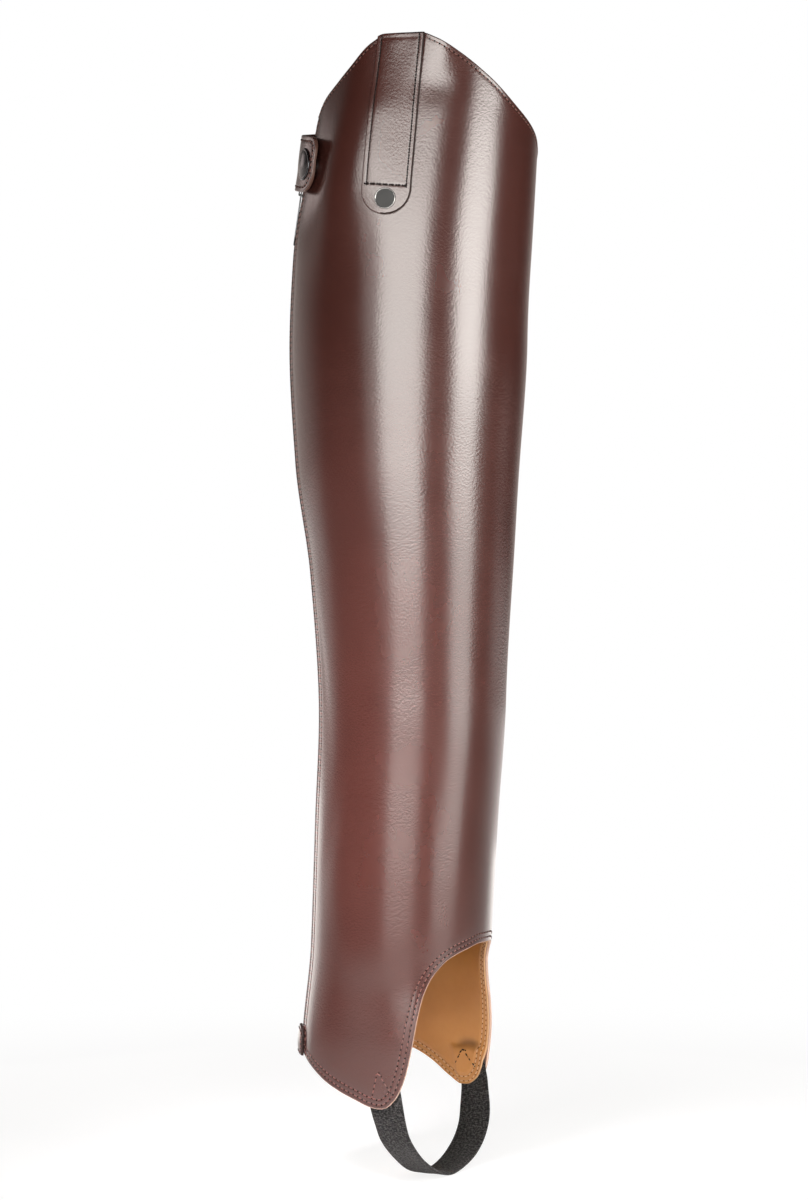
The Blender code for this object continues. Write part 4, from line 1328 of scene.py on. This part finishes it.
snap = {
    "along": 16.7,
    "radius": 7.0,
    "sides": 72,
}
snapProfile = [
    # radius share, height over the tab in mm, finish
    (0.0, 1.20, 0), (0.3, 1.15, 0), (0.55, 1.02, 0), (0.74, 0.84, 0), (0.82, 0.74, 0), (0.855, 0.66, 0),
    (0.88, 0.68, 0), (0.93, 0.66, 0), (0.975, 0.52, 0), (1.0, 0.3, 0), (1.0, 0.05, 0), (0.96, -0.1, 0),
    (0.0, -0.1, 0),
]


def capPlace(x, y, out):
    radius = snap["radius"]
    return tabPlace(snap["along"] + x * radius, np.array([y * radius]), tab["thickness"] + 0.05 + out)[0]


snapCap = makeTurned("snapCap", snapProfile, capPlace, [gunmetal], snap["sides"])
belongs(snapCap, ["snap_cap"])

guard = {
    "halfWidth": 8.0,
    "top": -300.5,
    "bottom": -313.5,
    "thickness": 1.3,
    "gap": 0.2,
    "bulge": 0.6,
    "seam": 1.5,
    "paint": 0.31,
    "drop": 0.35,              # how far its upper corners drop, as a share of its height
    "radius": 41.5,            # of the leg there
}
guardTall = guard["top"] - guard["bottom"]


def guardPlace(row, side, out):
    # row runs from 0 at the top to 1 at the bottom; side in millimetres
    v = side / guard["halfWidth"]
    top = guard["top"] - guardTall * guard["drop"] * v ** 4
    height = top + (guard["bottom"] - top) * row
    swell = np.sin(np.pi * row) ** 0.8 * np.cos(np.pi / 2 * v) if 0 < row < 1 else 0 * v
    angle = zipLine["angle"] - np.degrees(side / guard["radius"])
    return onLeg(angle, height, guard["gap"] + out + guard["bulge"] * np.clip(swell, 0, 1))


def guardFromEdge(row, side):
    v = side / guard["halfWidth"]
    tall = guardTall * (1 - guard["drop"] * v ** 4)
    return np.minimum(guard["halfWidth"] - np.abs(side), np.minimum(row, 1 - row) * tall)


guardInsets = [i / guardTall for i in (0, .05, .15, .3, .5, .9, 1.2, 1.5, 1.8, 2.3)]
guardRows = guardInsets + np.linspace(guardInsets[-1] + 0.05, 0.78, 14).tolist()
guardRows += [1 - r for r in reversed(guardInsets)]
zipGuard = makePatch(
    "zipGuard", guardRows, lambda row: sidesOf(guard["halfWidth"], patchInsets, 10), guardPlace,
    guard["thickness"], guardFromEdge, (guard["seam"],), oxbloodLeather,
    paintWidth=lambda sides: np.full_like(sides, guard["paint"]))
belongs(zipGuard, ["zip_guard"])


def guardStitches():
    half, seam = guard["halfWidth"], guard["seam"]
    low, high = 1 - seam / guardTall, seam / guardTall
    path = [(r, -half + seam) for r in np.linspace(low, high * 1.2, 16)]
    path += [(high * (1 + 0.3 * (s / half) ** 2), s)
             for s in np.linspace(-half + seam + .6, half - seam - .6, 20)]
    path += [(r, half - seam) for r in np.linspace(high * 1.2, low, 16)]
    path += [(low, s) for s in np.linspace(half - seam - .6, -half + seam, 20)]
    rows, sides = np.array(path).T
    return sewRows("guardStitches", [rowOnPatch(guardPlace, rows, sides, guard["thickness"])], oxbloodThread,
                   pitch=2.0)


guardThread = guardStitches()
print("half chap: snap tab, snap and zip guard made")

# the zip
zipParts = {
    "tapeFrom": 1.0,
    "tapeAngle": 19.0,
    "tapeFace": -2.25,
    "tapeThickness": 0.6,
    "tapeBottom": -307.0,
    "tapeTop": 98.0,
    "toothPitch": 2.4,
    "teethBottom": -303.0,
    "teethTop": 66.4,
    "toothFace": -1.35,
    "toothTop": 0.72,          # how far its face stands over its middle
}


def makeTape(name, sign):
    heights = np.linspace(zipParts["tapeBottom"], zipParts["tapeTop"], 150)[:, None]
    share = np.linspace(0, 1, 26)[None, :]
    face0 = zipParts["tapeFace"]
    reach = legRadius(zipLine["angle"], heights) + face0
    first, last = zipParts["tapeFrom"], reach * math.radians(zipParts["tapeAngle"])
    distance = first + (last - first) * share
    angle = zipLine["angle"] - np.degrees(sign * distance / reach)
    bead = 0.55 * np.exp(-((distance - 1.6) / 0.55) ** 2)
    heights = heights + 0 * share
    uv = np.stack([distance * mm, heights * mm], -1)
    face = onLeg(angle, heights, face0 + bead)
    back = onLeg(angle, heights, face0 - zipParts["tapeThickness"] - bead * 0.4)
    return wallFrom(name, face, back, zipTapeCloth, uv=uv)


for name, sign, node in (("outerZipTape", 1, "zip_tape_outer"), ("innerZipTape", -1, "zip_tape_inner")):
    tape = belongs(makeTape(name, sign), [node])


def makeToothTree():
    tree, sockets, given, result = startRowTree("zipTeeth", [
        ("Pitch", floatIn), ("Tooth", "NodeSocketObject"), ("Finish", "NodeSocketMaterial")])
    tooth = addNode(tree, "GeometryNodeObjectInfo", {"transform_space": "ORIGINAL"}, Object=given["Tooth"])
    teeth = repeated(tree, given, tooth.outputs["Geometry"])
    done = addNode(tree, "GeometryNodeSetMaterial", Geometry=teeth, Material=given["Finish"])
    tree.links.new(done.outputs[0], result.inputs[0])
    return tree, sockets


toothTree, toothSockets = makeToothTree()


def makeTooth(name, sign):
    # x along the zip, y across, z out; the nose reaches past the middle
    outline = [(-0.62, -2.3), (0.62, -2.3), (0.62, -0.9), (0.42, -0.3), (0.72, 0.25), (0.6, 0.75),
               (0.0, 0.95), (-0.6, 0.75), (-0.72, 0.25), (-0.42, -0.3), (-0.62, -0.9)]
    shape = bmesh.new()
    low = [shape.verts.new((x * mm, y * sign * mm, -0.75 * mm)) for x, y in outline]
    middle = [shape.verts.new((x * mm, y * sign * mm, 0.45 * mm)) for x, y in outline]
    high = [shape.verts.new((x * 0.72 * mm, (y * 0.86 - 0.1) * sign * mm, zipParts["toothTop"] * mm))
            for x, y in outline]
    shape.faces.new(high)
    shape.faces.new(list(reversed(low)))
    for lower, upper in ((low, middle), (middle, high)):
        for k in range(len(outline)):
            n = (k + 1) % len(outline)
            shape.faces.new((lower[k], lower[n], upper[n], upper[k]))
    bmesh.ops.recalc_face_normals(shape, faces=shape.faces)
    mesh = bpy.data.meshes.new(name)
    shape.to_mesh(mesh)
    shape.free()
    return bpy.data.objects.new(name, mesh)


def makeTeeth(name, sign):
    pitch = zipParts["toothPitch"]
    start = zipParts["teethBottom"] + (pitch / 2 if sign > 0 else 0)
    heights = np.arange(start, zipParts["teethTop"], rowStep)
    angles = np.full_like(heights, zipLine["angle"])
    row = onLeg(angles, heights, zipParts["toothFace"] - zipParts["toothTop"]), outwardAt(angles, heights)
    tooth = makeTooth(name + "Pattern", sign)
    made = alongRows(name, [row], toothTree, toothSockets,
                     {"Pitch": pitch * mm, "Tooth": tooth, "Finish": zipTeethFinish})
    bpy.data.objects.remove(tooth)
    return made


for name, sign in (("outerZipTeeth", 1), ("innerZipTeeth", -1)):
    belongs(makeTeeth(name, sign), ["zip_chain"])


def bevelledCopy(name, node, width, segments, finish, body="chap"):
    # a hard CAD piece with its edges rounded
    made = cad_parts[node].copy()
    made.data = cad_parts[node].data.copy()
    made.name = made.data.name = name
    for key in list(made.keys()):
        if key.startswith("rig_"):
            del made[key]
    bpy.context.collection.objects.link(made)
    shape = bmesh.new()
    shape.from_mesh(made.data)
    bmesh.ops.remove_doubles(shape, verts=shape.verts, dist=1e-6)
    bmesh.ops.dissolve_limit(shape, angle_limit=math.radians(1.0), verts=shape.verts, edges=shape.edges)
    shape.to_mesh(made.data)
    shape.free()
    made.data.materials.clear()
    made.data.materials.append(finish)
    rounding = made.modifiers.new("rounding", "BEVEL")
    rounding.width = width * mm
    rounding.segments = segments
    rounding.limit_method = "ANGLE"
    rounding.angle_limit = math.radians(35)
    rounding.harden_normals = True
    applied(made)
    made.data.polygons.foreach_set("use_smooth", [True] * len(made.data.polygons))
    made.data.set_sharp_from_angle(angle=math.radians(50))
    belongs(made, [node], body)


bevelledCopy("zipSlider", "zip_slider", 0.22, 3, zipTeethFinish)
bevelledCopy("zipPull", "zip_pull", 0.14, 2, gunmetal, "zip_pull_tab")
bevelledCopy("outerZipStop", "zip_stop_outer", 0.15, 2, gunmetal)
bevelledCopy("innerZipStop", "zip_stop_inner", 0.15, 2, gunmetal)
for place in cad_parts["snap_post"].material_slots:
    place.material = zipTeethFinish
print("half chap: zip made")

# the elastic strap under the foot
strap = {
    "width": 15.2,
    "thickness": 1.4,
    "rows": 190,
    "columns": 22,
}


def strapEndPath(side, heights):
    depth = panel["skived"] + strap["thickness"] / 2 + 0.05
    return onLeg(strapAngle(side, heights), heights, -depth)


strapRoute = np.concatenate([
    strapEndPath("outer", np.array([strapEnds["top"] - 0.8, -321.0, -326.5, -331.5])),
    [(-37.3, -11.0, -338.5), (-31.9, -11.2, -347.2), (-21.0, -11.4, -356.4), (-8.0, -11.8, -363.4),
     (6.0, -12.3, -366.2), (20.0, -12.8, -363.4), (31.0, -13.1, -357.4), (37.3, -13.3, -349.6),
     (39.3, -13.3, -340.5)],
    strapEndPath("inner", np.array([-331.5, -326.5, -321.0, strapEnds["top"] - 0.8])),
])


def alongRoute(points, count):
    # a smooth line through points, in even steps of its length
    spans = len(points) - 1
    padded = np.concatenate([points[:1], points, points[-1:]])
    dense = []
    for k in range(spans):
        p0, p1, p2, p3 = padded[k:k + 4]
        for t in np.linspace(0, 1, 24)[:-1]:
            dense.append((2 * p1 + (p2 - p0) * t + (2 * p0 - 5 * p1 + 4 * p2 - p3) * t ** 2
                          + (3 * p1 - p0 - 3 * p2 + p3) * t ** 3) / 2)
    dense = np.array(dense + [points[-1]])
    lengths = np.concatenate([[0], np.cumsum(np.linalg.norm(np.diff(dense, axis=0), axis=1))])
    even = np.linspace(0, lengths[-1], count)
    return np.stack([np.interp(even, lengths, dense[:, k]) for k in range(3)], -1), even


def makeStrap():
    centre, lengths = alongRoute(strapRoute, strap["rows"])
    direction = np.gradient(centre, axis=0)
    direction /= np.linalg.norm(direction, axis=1, keepdims=True)
    # square across the foot below, and round the leg where the ends are sewn in
    turn = np.where(centre[:, 0] < 0, strapAngle("outer", centre[:, 2]), strapAngle("inner", centre[:, 2]))
    sewnIn = smoothStep(centre[:, 2], -345.0, -330.0)[:, None]
    forward = onLeg(turn + 8, centre[:, 2]) - onLeg(turn - 8, centre[:, 2])
    forward *= -np.sign(forward[:, 1:2])
    forward /= np.linalg.norm(forward, axis=1, keepdims=True)
    across = forward * sewnIn + np.array([0.0, -1.0, 0.0]) * (1 - sewnIn)
    across -= direction * np.sum(across * direction, axis=1, keepdims=True)
    across /= np.linalg.norm(across, axis=1, keepdims=True)
    outward = np.cross(across, direction)
    outward /= np.linalg.norm(outward, axis=1, keepdims=True)
    wrong = np.sum(outward * np.stack([centre[:, 0], 0 * centre[:, 0], centre[:, 2] + 320.0], -1), axis=1) < 0
    outward[wrong] *= -1
    sides = np.linspace(-1, 1, strap["columns"])
    half = 0.5 * strap["thickness"] * (1 - np.clip((np.abs(sides) - 0.93) / 0.07, 0, 1) ** 2 * 0.7)
    width = strap["width"] / 2
    places = centre[:, None, :] + across[:, None, :] * (sides * width)[None, :, None]
    free = 1 - smoothStep(centre[:, 2], -340.0, -331.0)
    wave = 0.10 * np.sin(lengths / 4.3)[:, None] * np.sin(sides * 5.0)[None, :] * free[:, None]
    # the ends bend round the leg with the leather
    bend = -(sides * width)[None, :] ** 2 / (2 * meanRadius) * sewnIn
    face = places + outward[:, None, :] * (bend + half + wave)[..., None]
    back = places + outward[:, None, :] * (bend - half + wave)[..., None]
    uv = np.stack(np.broadcast_arrays((sides * width * mm)[None, :], (lengths * mm)[:, None]), -1)
    return wallFrom("footStrap", face, back, blackElastic, uv=uv)


footStrap = belongs(makeStrap(), ["foot_strap"])
print("half chap: elastic strap made")

# the ground, which glows though it is no lamp: painted light, brighter behind the leg and in a pool round it,
# washed towards white where the camera sees it
floorReach = 4000.0
floorCorners = [(x * floorReach, y * floorReach, studio["floorHeight"] / mm)
                for x, y in ((-1, -1), (1, -1), (1, 1), (-1, 1))]
floor = addMesh("paleFloor", floorCorners, [(0, 1, 2, 3)])
paper, tree, shader = startFinish("glowingPalePaper")
place = placeOn(tree)
behind = addNode(tree, "ShaderNodeVectorMath", {"operation": "DOT_PRODUCT"}, _0=place,
                 _1=tuple(ahead)).outputs["Value"]
away = addNode(tree, "ShaderNodeVectorMath", {"operation": "LENGTH"}, _0=place).outputs["Value"]
# painted light: the floor glows brightest behind the leg and in a pool round it
glow = calculate(tree, "ADD", remap(tree, behind, 0.2, 1.3, 0.10, 1.3, "SMOOTHSTEP"),
                 remap(tree, away, 0.45, 1.0, 0.35, 0.0, "SMOOTHSTEP"))
farOff = remap(tree, away, 0.36, 0.72, curve="SMOOTHSTEP")
feed(tree, shader, {"Base Color": (0.9, 0.9, 0.9, 1), "Roughness": 0.8,
                    "Emission Color": (1.0, 0.95, 0.92, 1), "Emission Strength": glow})
washed = calculate(tree, "MULTIPLY_ADD", farOff, 0.25, 0.75)
onlySeen = calculate(tree, "MULTIPLY", washed,
                     addNode(tree, "ShaderNodeLightPath").outputs["Is Camera Ray"])
plainWhite = addNode(tree, "ShaderNodeEmission", Color=(1, 1, 1, 1), Strength=1.0)
blended = addNode(tree, "ShaderNodeMixShader", _0=onlySeen, _1=shader.outputs[0], _2=plainWhite.outputs[0])
tree.links.new(blended.outputs[0], tree.nodes["Material Output"].inputs["Surface"])
floor.data.materials.append(paper)

print("half chap: done")
